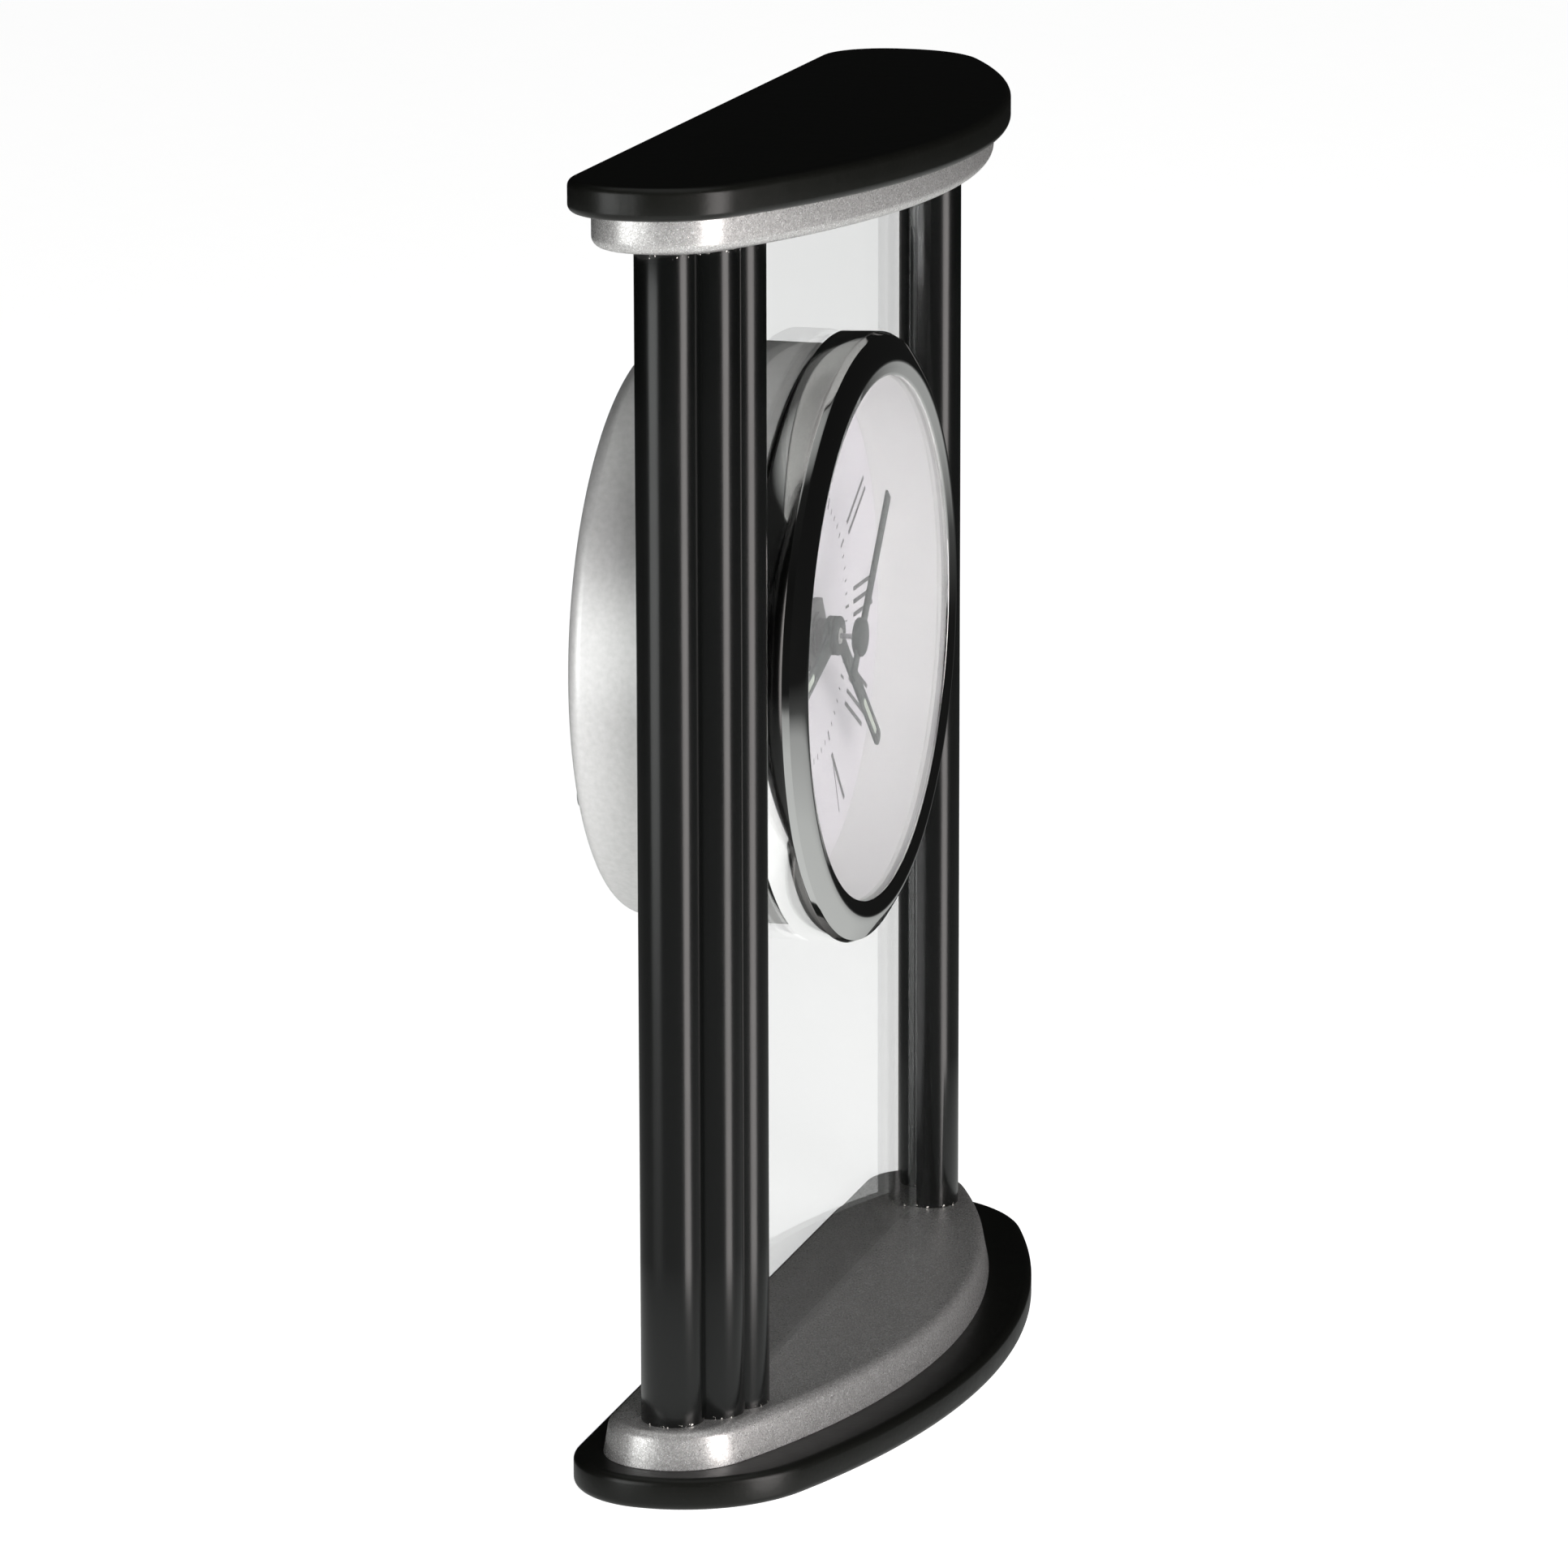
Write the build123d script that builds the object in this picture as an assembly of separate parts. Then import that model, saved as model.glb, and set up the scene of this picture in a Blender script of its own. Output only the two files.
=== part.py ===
from build123d import *
import math
import os

os.makedirs("parts", exist_ok=True)

# ---------------------------------------------------------------- driving dimensions (mm)
# Origin: on the floor under the middle of the clock's own box. X right, front is -Y, Z up.
total_height = 235.0
felt_thickness = 0.6
felt_inset = 3.2
base_plate_top = 6.5
base_step_top = 13.2
top_step_bottom = 222.9
top_plate_bottom = 229.1
glass_front = -2.0
glass_thickness = 5.0
head_z = 139.3

# Each board is D-shaped: straight back, bowed front, all four corners rounded.
# (half width, back y, front y, shoulder y, front corner radius, back corner radius)
base_plate_plan = (93.2, 23.3, -34.2, -10.8, 27.0, 16.1)
base_step_plan = (88.5, 17.9, -26.2, -3.3, 15.0, 11.2)
top_step_plan = (87.8, 18.6, -26.7, -2.3, 14.2, 11.2)
top_plate_plan = (90.9, 22.3, -30.1, -2.9, 18.1, 12.8)
plate_edge_radius = 1.4
step_edge_radius = 2.0
base_step_inset = 0.8

# Each column is three upright reeds standing side by side on a curved line.
reed_radius = 5.6
reed_centres = ((79.1, 4.9), (72.3, -0.6), (65.6, -3.2))
glass_slot_depth_x = 67.3
glass_half_width = 67.0
glass_groove_depth = 3.0
fit_gap = 0.05

# Head: a bezel in front of the glass and a can behind it.
glass_hole_radius = 51.1
spigot_outer = 50.8
spigot_inner = 49.6
gasket_thickness = 0.4
can_radius = 53.3
can_wall = 1.5
can_back = 32.3
can_edge_radius = 3.0
knob_back = 34.2
dial_radius = 49.3
dial_thickness = 1.0
dial_visible_radius = 47.0
lens_radius = 51.5
lens_thickness = 1.2
lens_opening_radius = 48.1
bezel_radius = 56.0
bezel_crest_radius = 51.2

# Movement
case_half = 29.0
case_low = -30.5
case_high = 29.0
case_wall = 1.2
divider_high = -13.4
divider_low = -14.4
wheel_distance = 15.6
fine_module = 0.52
coarse_module = 0.65
gear_thickness = 1.6
shaft_radius = 1.5
running_clearance = 0.07
battery_radius = 7.1
battery_length = 49.0

# Fixings and glass seating
screw_radius = 1.5
screw_head_radius = 3.0
screw_head_depth = 1.8
screw_length = 24.0
screw_slot_width = 0.8
screw_slot_depth = 0.7
screw_clearance = 0.1
dowel_radius = 2.0
dowel_reach = 8.0
dowel_cap = 3.0
cushion_thickness = 1.0
groove_end_gap = 0.3
glass_top_gap = 0.5
cut_past = 1.0

# Bezel section as (radius, distance in front of the glass), from the outer wall to the lens seat
bezel_face = (
    (bezel_radius, 0.7),
    (bezel_radius, 7.0),
    (bezel_radius - 0.5, 7.9),
    (bezel_radius - 2.4, 9.35),
    (bezel_crest_radius + 1.0, 10.0),
    (bezel_crest_radius, 10.2),
    (bezel_crest_radius - 0.7, 10.1),
    (lens_opening_radius, 9.5),
)
bezel_foot_chamfer = 0.3
spigot_length = 7.0
lens_side_gap = 0.1
lens_step_depth = 0.8
reflector_wall = 1.0
reflector_edge_gap = 0.6

# Rear can and what is fixed to it
retaining_inner = 43.0
retaining_thickness = 2.0
pillar_radius = 2.5
pillar_circle = 45.5
pillar_angles = (90, 210, 330)
can_screw_radius = 1.2
can_screw_reach = 7.0
can_screw_head_radius = 2.6
can_screw_head_height = 1.4
cross_half_length = 1.6
cross_half_width = 0.3
cross_floor = 0.8
knob_radius = 6.5
knob_hole_gap = 0.5
knob_notches = 24
knob_notch_radius = 0.55
switch_z = 21.0
switch_travel = 4.0
switch_slot_half = 1.6
thumb_half = 2.0
door_half = 28.7
door_low = -30.0
door_high = -13.0
door_gap = 0.3
hinge_radius = 0.9
hinge_z = -31.9
hinge_pin_radius = 0.45
hinge_end_gap = 0.2
door_knuckle_half = 10.0
can_knuckle_end = 16.0
sound_at = (-15.0, 17.0)
sound_rise = 8.0
sound_circle = 4.0
sound_holes = 6
sound_hole_radius = 0.9

# Inside the movement
post_radius = 1.0
nut_inner_radius = 6.2
nut_thickness = 1.4
battery_tip_radius = 2.7
battery_tip_length = 1.4
contact_thickness = 0.5
coil_wire = 0.35
spring_height = 2.3
spring_radius = 4.2
rotor_at = (15.0, 12.8)
rotor_radius = 2.6
rotor_hole_radius = 3.1
buzzer_radius = 9.0

# Teeth on the motion work
second_teeth = 60
second_module = 0.30
pinion_teeth = 12
minute_wheel_teeth = 36
hour_teeth = 48
alarm_pinion_teeth = 24

# Hands: length from the centre, width, and for two of them a slit (start, end, width)
collar_r = 3.65
second_cap_radius = 3.6
second_length = 29.9
second_width = 2.8
second_tail = 8.5
minute_length = 35.85
minute_width = 3.3
minute_slit = (22.6, 34.4, 1.5)
hour_length = 24.6
hour_width = 3.8
hour_slit = (14.5, 22.5, 1.7)
alarm_length = 23.0
alarm_width = 5.4
alarm_tip_width = 0.8

# Levels along Y, counted from the front face of the glass
glass_back = glass_front + glass_thickness
dial_front = glass_back
dial_back = dial_front + dial_thickness
plate_back = dial_back + 1.2
alarm_layer = plate_back + 0.5
hour_layer = alarm_layer + 2.1
minute_layer = hour_layer + 2.1
second_layer = minute_layer + 2.1
case_back = plate_back + 17.0
can_inner_back = can_back - can_wall
lens_front = glass_front - 9.0
lens_back = lens_front + lens_thickness

# Hand stack, each level counted forward from the front face of the glass
alarm_hand_back = glass_front + 1.5
hour_hand_back = glass_front + 0.65
minute_hand_back = glass_front - 0.20
second_hand_back = glass_front - 3.9
collar_thickness = 0.7
hand_thickness = 0.45

# Hand angles, degrees clockwise from twelve, in step with one another
second_angle = 39.3
minute_angle = 133.3
hour_angle = 240.0 + minute_angle / 12.0
alarm_angle = 242.0

# Pipes that carry the hands, nested with running clearance
second_pipe_r = 0.50
minute_pipe_r = 1.50
hour_pipe_r = 2.30
alarm_pipe_r = 3.05
bush_inner_r = 3.12
bush_outer_r = 4.20


# ---------------------------------------------------------------- helpers
def polar(radius, degrees):
    """A point in the dial's plane: x to the right, second value up."""
    return radius * math.cos(math.radians(degrees)), radius * math.sin(math.radians(degrees))


def facing(back_y):
    """A drawing plane at back_y whose solids grow towards the front."""
    return Plane(origin=(0, back_y, head_z), x_dir=(1, 0, 0), z_dir=(0, -1, 0))


def push(sketch, front_y, back_y, at=(0, 0), turn=0.0):
    """A solid between two Y levels from a flat drawing, centred at a point of the head."""
    placed = facing(back_y) * Location((at[0], at[1], 0), (0, 0, turn)) * sketch
    return extrude(placed, back_y - front_y)


def disc(radius, front_y, back_y, at=(0, 0)):
    return push(Circle(radius), front_y, back_y, at)


def ring(outer, inner, front_y, back_y, at=(0, 0)):
    return push(Circle(outer) - Circle(inner), front_y, back_y, at)


def block(x0, x1, y0, y1, z0, z1):
    """A box from limits; z is counted from the head's centre."""
    return Pos((x0 + x1) / 2, (y0 + y1) / 2, head_z + (z0 + z1) / 2) * Box(x1 - x0, y1 - y0, z1 - z0)


def turned(points):
    """Revolve a closed (radius, y) outline about the head's axis."""
    outline = Polyline(*[(r, y, 0) for r, y in points], close=True)
    solid = revolve(make_face(outline), Axis.Y)
    return Pos(0, 0, head_z) * solid


def bar_x(radius, x0, x1, y, z):
    """A round bar along X; z is counted from the head's centre."""
    return Pos((x0 + x1) / 2, y, head_z + z) * Rot(0, 90, 0) * Cylinder(radius, x1 - x0)


def plan_face(plan):
    """The D-shaped outline of a board, as a flat face."""
    half, back, front, shoulder, front_r, back_r = plan
    rise = shoulder - front
    bow = (half ** 2 + rise ** 2) / (2 * rise)
    centre_y = front + bow
    corner_x = half - front_r
    corner_y = centre_y - math.sqrt((bow - front_r) ** 2 - corner_x ** 2)
    angle = math.atan2(corner_y - centre_y, corner_x)
    meet = (bow * math.cos(angle), centre_y + bow * math.sin(angle))
    middle = (corner_x + front_r * math.cos(angle / 2), corner_y + front_r * math.sin(angle / 2))
    slant = back_r * math.sqrt(0.5)
    back_middle = (half - back_r + slant, back - back_r + slant)
    side_front = (half, corner_y)
    side_back = (half, back - back_r)
    back_end = (half - back_r, back)

    def flip(point):
        return -point[0], point[1]

    lines = [
        ThreePointArc(flip(meet), (0, front), meet),
        ThreePointArc(meet, middle, side_front),
        Line(side_front, side_back),
        ThreePointArc(side_back, back_middle, back_end),
        Line(back_end, flip(back_end)),
        ThreePointArc(flip(back_end), flip(back_middle), flip(side_back)),
        Line(flip(side_back), flip(side_front)),
        ThreePointArc(flip(side_front), flip(middle), flip(meet)),
    ]
    return make_face(Curve() + lines)


def board(plan, low, high):
    return extrude(Pos(0, 0, low) * plan_face(plan), high - low)


def smaller_plan(plan, inset):
    """The same outline, drawn inset millimetres inside itself."""
    half, back, front, shoulder, front_r, back_r = plan
    return half - inset, back - inset, front + inset, shoulder + inset, front_r - inset, back_r - inset


def drafted_board(plan, low, high, inset):
    """A board whose sides lean in by inset over its height."""
    upper = smaller_plan(plan, inset)
    return loft([Pos(0, 0, low) * plan_face(plan), Pos(0, 0, high) * plan_face(upper)])


def rim(solid, which):
    """The edges round the lowest (0) or highest (-1) level of a board."""
    return solid.edges().group_by(Axis.Z)[which]


def gear_sketch(teeth, module, phase):
    """A toothed outline of straight lines; phase is the angle of one tooth's middle."""
    pitch_r = teeth * module / 2
    step = 360.0 / teeth
    levels = (
        (pitch_r - 1.15 * module, 0.30),
        (pitch_r - 0.15 * module, 0.24),
        (pitch_r + 0.45 * module, 0.17),
        (pitch_r + 0.85 * module, 0.08),
    )
    points = []
    for tooth in range(teeth):
        middle = phase + tooth * step
        for radius, half in levels:
            points.append(polar(radius, middle - half * step))
        for radius, half in reversed(levels):
            points.append(polar(radius, middle + half * step))
    return make_face(Polyline(*points, close=True))


def gear(teeth, module, phase, front_y, at=(0, 0), bore=0.0, thickness=gear_thickness):
    """A flat gear with a many-sided bore."""
    sketch = gear_sketch(teeth, module, phase)
    if bore:
        sketch -= RegularPolygon(bore, 24, major_radius=False)
    return push(sketch, front_y, front_y + thickness, at)


def pointer(length, width, tail, tip_width, front_y, back_y, angle, rounded, slit=None):
    """A clock hand lying in the dial's plane, pointing angle degrees clockwise from twelve."""
    shape = make_face(
        Polyline(
            (-width / 2, -tail), (width / 2, -tail), (tip_width / 2, length), (-tip_width / 2, length),
            close=True,
        )
    )
    if rounded:
        shape += Pos(0, length) * Circle(tip_width / 2)
    if slit:
        start, end, slit_width = slit
        shape -= Pos(0, (start + end) / 2) * SlotOverall(end - start, slit_width, rotation=90)
    return push(shape, front_y, back_y, turn=-angle)


def lume_strip(slit, hand_back, angle):
    """The luminous strip that fills the slit of a hand."""
    start, end, width = slit
    strip = Pos(0, (start + end) / 2) * SlotOverall(end - start, width, rotation=90)
    return push(strip, hand_back - 0.5, hand_back - 0.2, turn=-angle)


def save(name, solid):
    solid.label = name
    export_step(solid, f"parts/{name}.step")


# ---------------------------------------------------------------- base, top and columns
def column_section():
    section = Sketch()
    for x, y in reed_centres:
        section += Pos(x, y) * Circle(reed_radius)
    slot_width = glass_thickness + 2 * fit_gap
    slot_centre = Pos(glass_slot_depth_x / 2, glass_front + glass_thickness / 2)
    slot = slot_centre * Rectangle(glass_slot_depth_x, slot_width)
    return section - slot


fixing_spots = [(side * x, y) for side in (-1, 1) for x, y in reed_centres[:2]]


def screw_up(x, y):
    """A countersunk screw driven upwards from the underside of the base plate."""
    low = felt_thickness
    head = Pos(x, y, low + screw_head_depth / 2) * Cone(screw_head_radius, screw_radius, screw_head_depth)
    shank = Pos(x, y, low + screw_length / 2) * Cylinder(screw_radius, screw_length)
    slot_box = Box(2 * screw_head_radius, screw_slot_width, screw_slot_depth)
    slot = Pos(x, y, low + screw_slot_depth / 2) * slot_box
    return head + shank - slot


def upright_hole(x, y, radius, low, high):
    return Pos(x, y, (low + high) / 2) * Cylinder(radius, high - low)


felt_pad = board(smaller_plan(base_plate_plan, felt_inset), 0, felt_thickness)

base_plate = board(base_plate_plan, felt_thickness, base_plate_top)
base_plate = fillet(rim(base_plate, -1) + rim(base_plate, 0), plate_edge_radius)
base_step = drafted_board(base_step_plan, base_plate_top, base_step_top, base_step_inset)
base_step = fillet(rim(base_step, -1), step_edge_radius)
top_step = board(top_step_plan, top_step_bottom, top_plate_bottom)
top_step = fillet(rim(top_step, 0), step_edge_radius)
top_plate = board(top_plate_plan, top_plate_bottom, total_height)
top_plate = fillet(rim(top_plate, -1) + rim(top_plate, 0), plate_edge_radius)

groove_width = glass_thickness + 2 * fit_gap
groove_length = 2 * (glass_half_width + groove_end_gap)
glass_middle = glass_front + glass_thickness / 2
groove_cut = Box(groove_length, groove_width, glass_groove_depth)
base_step -= Pos(0, glass_middle, base_step_top - glass_groove_depth / 2) * groove_cut
top_step -= Pos(0, glass_middle, top_step_bottom + glass_groove_depth / 2) * groove_cut

right_column = extrude(Pos(0, 0, base_step_top) * column_section(), top_step_bottom - base_step_top)
left_column = mirror(right_column, Plane.YZ)

base_screws = Compound(children=[screw_up(x, y) for x, y in fixing_spots])
for x, y in fixing_spots:
    base_plate -= screw_up(x, y)
    base_plate -= upright_hole(x, y, screw_radius + screw_clearance, felt_thickness, base_plate_top)
    base_plate -= upright_hole(x, y, screw_head_radius, felt_thickness, felt_thickness + screw_slot_depth)
    base_step -= upright_hole(x, y, screw_radius + screw_clearance, base_plate_top, base_step_top)
    top_step -= upright_hole(x, y, dowel_radius, top_step_bottom, top_plate_bottom)
    top_plate -= upright_hole(x, y, dowel_radius, top_plate_bottom, top_plate_bottom + dowel_cap)
    pilot = upright_hole(x, y, screw_radius, base_step_top, felt_thickness + screw_length)
    socket = upright_hole(x, y, dowel_radius, top_step_bottom - dowel_reach, top_step_bottom)
    if x > 0:
        right_column -= pilot + socket
    else:
        left_column -= pilot + socket
dowel_low = top_step_bottom - dowel_reach
dowel_high = top_plate_bottom + dowel_cap
top_dowels = Compound(
    children=[upright_hole(x, y, dowel_radius, dowel_low, dowel_high) for x, y in fixing_spots]
)

cushion_low = base_step_top - glass_groove_depth
glass_cushion = Pos(0, glass_middle, cushion_low + cushion_thickness / 2) * Box(
    2 * glass_half_width, glass_thickness, cushion_thickness
)
glass_low = cushion_low + cushion_thickness
glass_high = top_step_bottom + glass_groove_depth - glass_top_gap
glass_panel = Pos(0, glass_middle, (glass_low + glass_high) / 2) * Box(
    2 * glass_half_width, glass_thickness, glass_high - glass_low
)
glass_panel -= disc(glass_hole_radius, glass_front - cut_past, glass_back + cut_past)

# ---------------------------------------------------------------- head, in front of the glass
spigot_end = glass_back + spigot_length
bezel = turned([
    (spigot_outer, spigot_end),
    (spigot_outer, glass_front - gasket_thickness),
    (bezel_radius - bezel_foot_chamfer, glass_front - gasket_thickness),
    *[(radius, glass_front - forward) for radius, forward in bezel_face],
    (lens_opening_radius, lens_front),
    (lens_radius + lens_side_gap, lens_front),
    (lens_radius + lens_side_gap, glass_front - lens_step_depth),
    (spigot_inner, glass_front - lens_step_depth),
    (spigot_inner, spigot_end),
])
lens = disc(lens_radius, lens_front, lens_back)
bezel_gasket = ring(bezel_radius - 1.0, glass_hole_radius, glass_front - gasket_thickness, glass_front)
can_gasket = ring(can_radius - 0.2, glass_hole_radius, glass_back, glass_back + 0.5)
reflector_rim = lens_radius - reflector_edge_gap
reflector_ring = turned([
    (dial_visible_radius, dial_front),
    (lens_opening_radius, lens_back + 1.6),
    (lens_opening_radius + 0.8, lens_back + 1.4),
    (lens_opening_radius + 0.9, lens_back),
    (reflector_rim, lens_back),
    (reflector_rim, lens_back + 0.4),
    (dial_visible_radius + reflector_wall, dial_front - 0.6),
    (dial_radius, dial_front - 0.6),
    (dial_radius, dial_front),
])
dial = ring(dial_radius, bush_outer_r + 0.1, dial_front, dial_back)

# ---------------------------------------------------------------- head, behind the glass
pillar_spots = [polar(pillar_circle, angle) for angle in pillar_angles]
retaining_ring = ring(spigot_inner, retaining_inner, dial_back, dial_back + retaining_thickness)
for spot in pillar_spots:
    retaining_ring += disc(pillar_radius, dial_back + 1.0, can_inner_back, spot)
    pilot_front = can_inner_back - can_screw_reach - cut_past
    retaining_ring -= disc(can_screw_radius, pilot_front, can_inner_back, spot)


def can_screw(spot):
    """A pan-head screw through the can's back wall into a pillar."""
    shank = disc(can_screw_radius, can_inner_back - can_screw_reach, can_back, spot)
    head = disc(can_screw_head_radius, can_back, can_back + can_screw_head_height, spot)
    low = can_back + cross_floor
    high = can_back + can_screw_head_height + screw_clearance
    cross = block(-cross_half_length, cross_half_length, low, high, -cross_half_width, cross_half_width)
    cross += block(-cross_half_width, cross_half_width, low, high, -cross_half_length, cross_half_length)
    return shank + head - Pos(spot[0], 0, spot[1]) * cross


can_screws = Compound(children=[can_screw(spot) for spot in pillar_spots])

can_front = glass_back + 0.5
can_shell = turned([
    (can_radius, can_front),
    (can_radius, can_back),
    (0, can_back),
    (0, can_front),
])
can_shell = fillet(can_shell.edges().group_by(Axis.Y)[-1], can_edge_radius)
rear_can = can_shell - disc(can_radius - can_wall, can_front - cut_past, can_inner_back)

minute_wheel_at = polar(wheel_distance, 120)
time_step = polar(wheel_distance, 225)
time_at = (minute_wheel_at[0] + time_step[0], minute_wheel_at[1] + time_step[1])
alarm_at = polar((hour_teeth + alarm_pinion_teeth) / 2 * fine_module, 7.5)
knob_front = can_inner_back - 2.0
hinge_y = can_back + 0.1 + hinge_radius

for spot in (time_at, alarm_at):
    rear_can -= disc(knob_radius + knob_hole_gap, can_inner_back - cut_past, can_back + cut_past, spot)
for spot in pillar_spots:
    rear_can -= disc(can_screw_radius + screw_clearance, can_inner_back - cut_past, can_back + cut_past, spot)
slot_half = switch_travel / 2 + thumb_half + 0.3
rear_can -= block(
    -slot_half, slot_half, can_inner_back - cut_past, can_back + cut_past,
    switch_z - switch_slot_half, switch_z + switch_slot_half,
)
rear_can -= block(
    -door_half - door_gap, door_half + door_gap, can_inner_back - cut_past, can_back + cut_past,
    door_low - door_gap, door_high + door_gap,
)
sound_centre = (sound_at[0], sound_at[1] + sound_rise)
sound_spots = [polar(sound_circle, 360 / sound_holes * index) for index in range(sound_holes)] + [(0, 0)]
for x, z in sound_spots:
    hole_at = (sound_centre[0] + x, sound_centre[1] + z)
    rear_can -= disc(sound_hole_radius, can_inner_back - cut_past, can_back + cut_past, hole_at)


def knuckle(x0, x1):
    return bar_x(hinge_radius, x0, x1, hinge_y, hinge_z)


pin_hole = bar_x(hinge_pin_radius, -can_knuckle_end, can_knuckle_end, hinge_y, hinge_z)
knuckle_start = door_knuckle_half + hinge_end_gap
for x0, x1 in ((-can_knuckle_end, -knuckle_start), (knuckle_start, can_knuckle_end)):
    rear_can += knuckle(x0, x1)
    rear_can += block(x0, x1, can_back - 0.2, hinge_y, hinge_z - hinge_radius, hinge_z + hinge_radius)
rear_can -= pin_hole
door_pin = bar_x(hinge_pin_radius, -can_knuckle_end, can_knuckle_end, hinge_y, hinge_z)

battery_door = block(-door_half, door_half, can_inner_back, can_back, door_low, door_high)
battery_door += block(
    -door_knuckle_half, door_knuckle_half, can_back - 0.1, hinge_y, door_low + 0.1, door_low + 2.6
)
battery_door += block(-door_knuckle_half, door_knuckle_half, can_back + 0.1, hinge_y, hinge_z, door_low + 0.2)
battery_door += knuckle(-door_knuckle_half, door_knuckle_half)
battery_door -= bar_x(hinge_pin_radius + 0.05, -door_knuckle_half, door_knuckle_half, hinge_y, hinge_z)
for rib in (0, 1, 2):
    rib_z = door_high - 2.4 - 1.6 * rib
    battery_door += block(-7, 7, can_back - 0.1, can_back + 0.6, rib_z - 0.35, rib_z + 0.35)

# ---------------------------------------------------------------- movement housing
movement_plate = block(-case_half, case_half, dial_back, plate_back, case_low, case_high)
movement_plate += disc(bush_outer_r, dial_front - 1.9, dial_back + 0.1)
movement_plate -= disc(bush_inner_r, dial_front - 3, plate_back + 1)
movement_plate += disc(post_radius, plate_back - 0.1, minute_layer + 2.4, minute_wheel_at)
nut_sketch = RegularPolygon(nut_inner_radius, 6, major_radius=False) - Circle(bush_outer_r)
dial_nut = push(nut_sketch, dial_front - nut_thickness, dial_front)

inner_half = case_half - case_wall
movement_case = block(-case_half, case_half, plate_back, case_back, case_low, case_high)
movement_case -= block(
    -inner_half, inner_half, plate_back - 1, case_back - case_wall, divider_high, case_high - case_wall
)
movement_case -= block(
    -inner_half, inner_half, plate_back + case_wall, case_back + 1, case_low + case_wall, divider_low
)
for spot in (time_at, alarm_at):
    movement_case -= disc(shaft_radius + running_clearance, case_back - 3, case_back + 1, spot)
switch_housing = block(-8, 8, case_back, can_inner_back - 1.4, switch_z - 4, switch_z + 4)

battery_z = divider_low - 0.3 - battery_radius
battery_y = case_back - 0.6 - battery_radius
battery = bar_x(battery_radius, -battery_length / 2, battery_length / 2, battery_y, battery_z)
battery_tip = battery_length / 2 + battery_tip_length
battery += bar_x(battery_tip_radius, battery_length / 2 - 0.1, battery_tip, battery_y, battery_z)
contact_low = battery_z - 6.0
contact_high = battery_z + 6.0
battery_contact = block(
    battery_tip, battery_tip + contact_thickness, battery_y - 5, battery_y + 5, contact_low, contact_high
)
battery_contact += block(
    battery_tip, inner_half, battery_y - 5, battery_y - 5 + contact_thickness, contact_low, contact_high
)
spring_turns = Helix(pitch=1.0, height=spring_height, radius=spring_radius)
spring_start = -battery_length / 2 - spring_height - coil_wire - 0.05
spring_path = Pos(spring_start, battery_y, head_z + battery_z) * Rot(0, 90, 0) * spring_turns
battery_spring = sweep(Plane(spring_path @ 0, z_dir=spring_path % 0) * Circle(coil_wire), path=spring_path)

circuit_board = block(-4, 27, case_back - 4.2, case_back - 3.2, 15, 27)
coil = bar_x(2.8, 6.5, 23.5, case_back - 9.0, 22)
stator_front = case_back - 9.4
stator_back = case_back - 8.6
stator = block(4, 26, stator_front, stator_back, 9.5, 16)
stator += block(4, 6.5, stator_front, stator_back, 15.9, 24)
stator += block(23.5, 26, stator_front, stator_back, 15.9, 24)
stator -= disc(rotor_hole_radius, stator_front - 1, stator_back + 1, rotor_at)
rotor = disc(rotor_radius, stator_front - 0.3, stator_back + 0.3, rotor_at)
rotor += disc(0.5, stator_front - 1.6, case_back - case_wall, rotor_at)
quartz_crystal = bar_x(0.95, 16, 23, case_back - 2.2, 25)
buzzer = disc(buzzer_radius, case_back - 7.0, case_back - case_wall, sound_at)

# ---------------------------------------------------------------- hands and motion work
second_arbor = disc(second_pipe_r, second_hand_back - 1.3, case_back - 2.0)
second_arbor += gear(second_teeth, second_module, 0.0, second_layer, thickness=1.0)
second_cap = disc(second_cap_radius, second_hand_back - 1.5, second_hand_back)
second_cap -= disc(second_pipe_r, second_hand_back - 1.3, second_hand_back + 1)
second_hand = second_cap + (
    pointer(
        second_length, second_width, second_tail, second_width,
        second_hand_back - 1.0, second_hand_back - 1.0 + hand_thickness, second_angle, False,
    )
    - disc(1.0, second_hand_back - 1.3, second_hand_back + 1)
)

minute_pipe_front = minute_hand_back - collar_thickness
cannon_pinion = disc(minute_pipe_r, minute_pipe_front, minute_layer + 0.2)
cannon_pinion += gear(pinion_teeth, coarse_module, 120, minute_layer)
cannon_pinion -= disc(second_pipe_r + running_clearance, minute_pipe_front - 1, second_layer)
minute_hand = disc(collar_r, minute_hand_back - collar_thickness, minute_hand_back)
minute_hand += pointer(
    minute_length, minute_width, 0.0, minute_width,
    minute_hand_back - 0.6, minute_hand_back - 0.15, minute_angle, True, minute_slit,
)
minute_hand -= disc(minute_pipe_r, minute_hand_back - 1, minute_hand_back + 1)
minute_lume = lume_strip(minute_slit, minute_hand_back, minute_angle)

hour_pipe_front = hour_hand_back - collar_thickness
hour_wheel = disc(hour_pipe_r, hour_pipe_front, hour_layer + 0.2)
hour_wheel += gear(hour_teeth, fine_module, 123.75, hour_layer)
hour_wheel -= disc(minute_pipe_r + running_clearance, hour_pipe_front - 1, hour_layer + 3)
hour_hand = disc(collar_r, hour_hand_back - collar_thickness, hour_hand_back)
hour_hand += pointer(
    hour_length, hour_width, 0.0, hour_width,
    hour_hand_back - 0.6, hour_hand_back - 0.15, hour_angle, True, hour_slit,
)
hour_hand -= disc(hour_pipe_r, hour_hand_back - 1, hour_hand_back + 1)
hour_lume = lume_strip(hour_slit, hour_hand_back, hour_angle)

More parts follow.
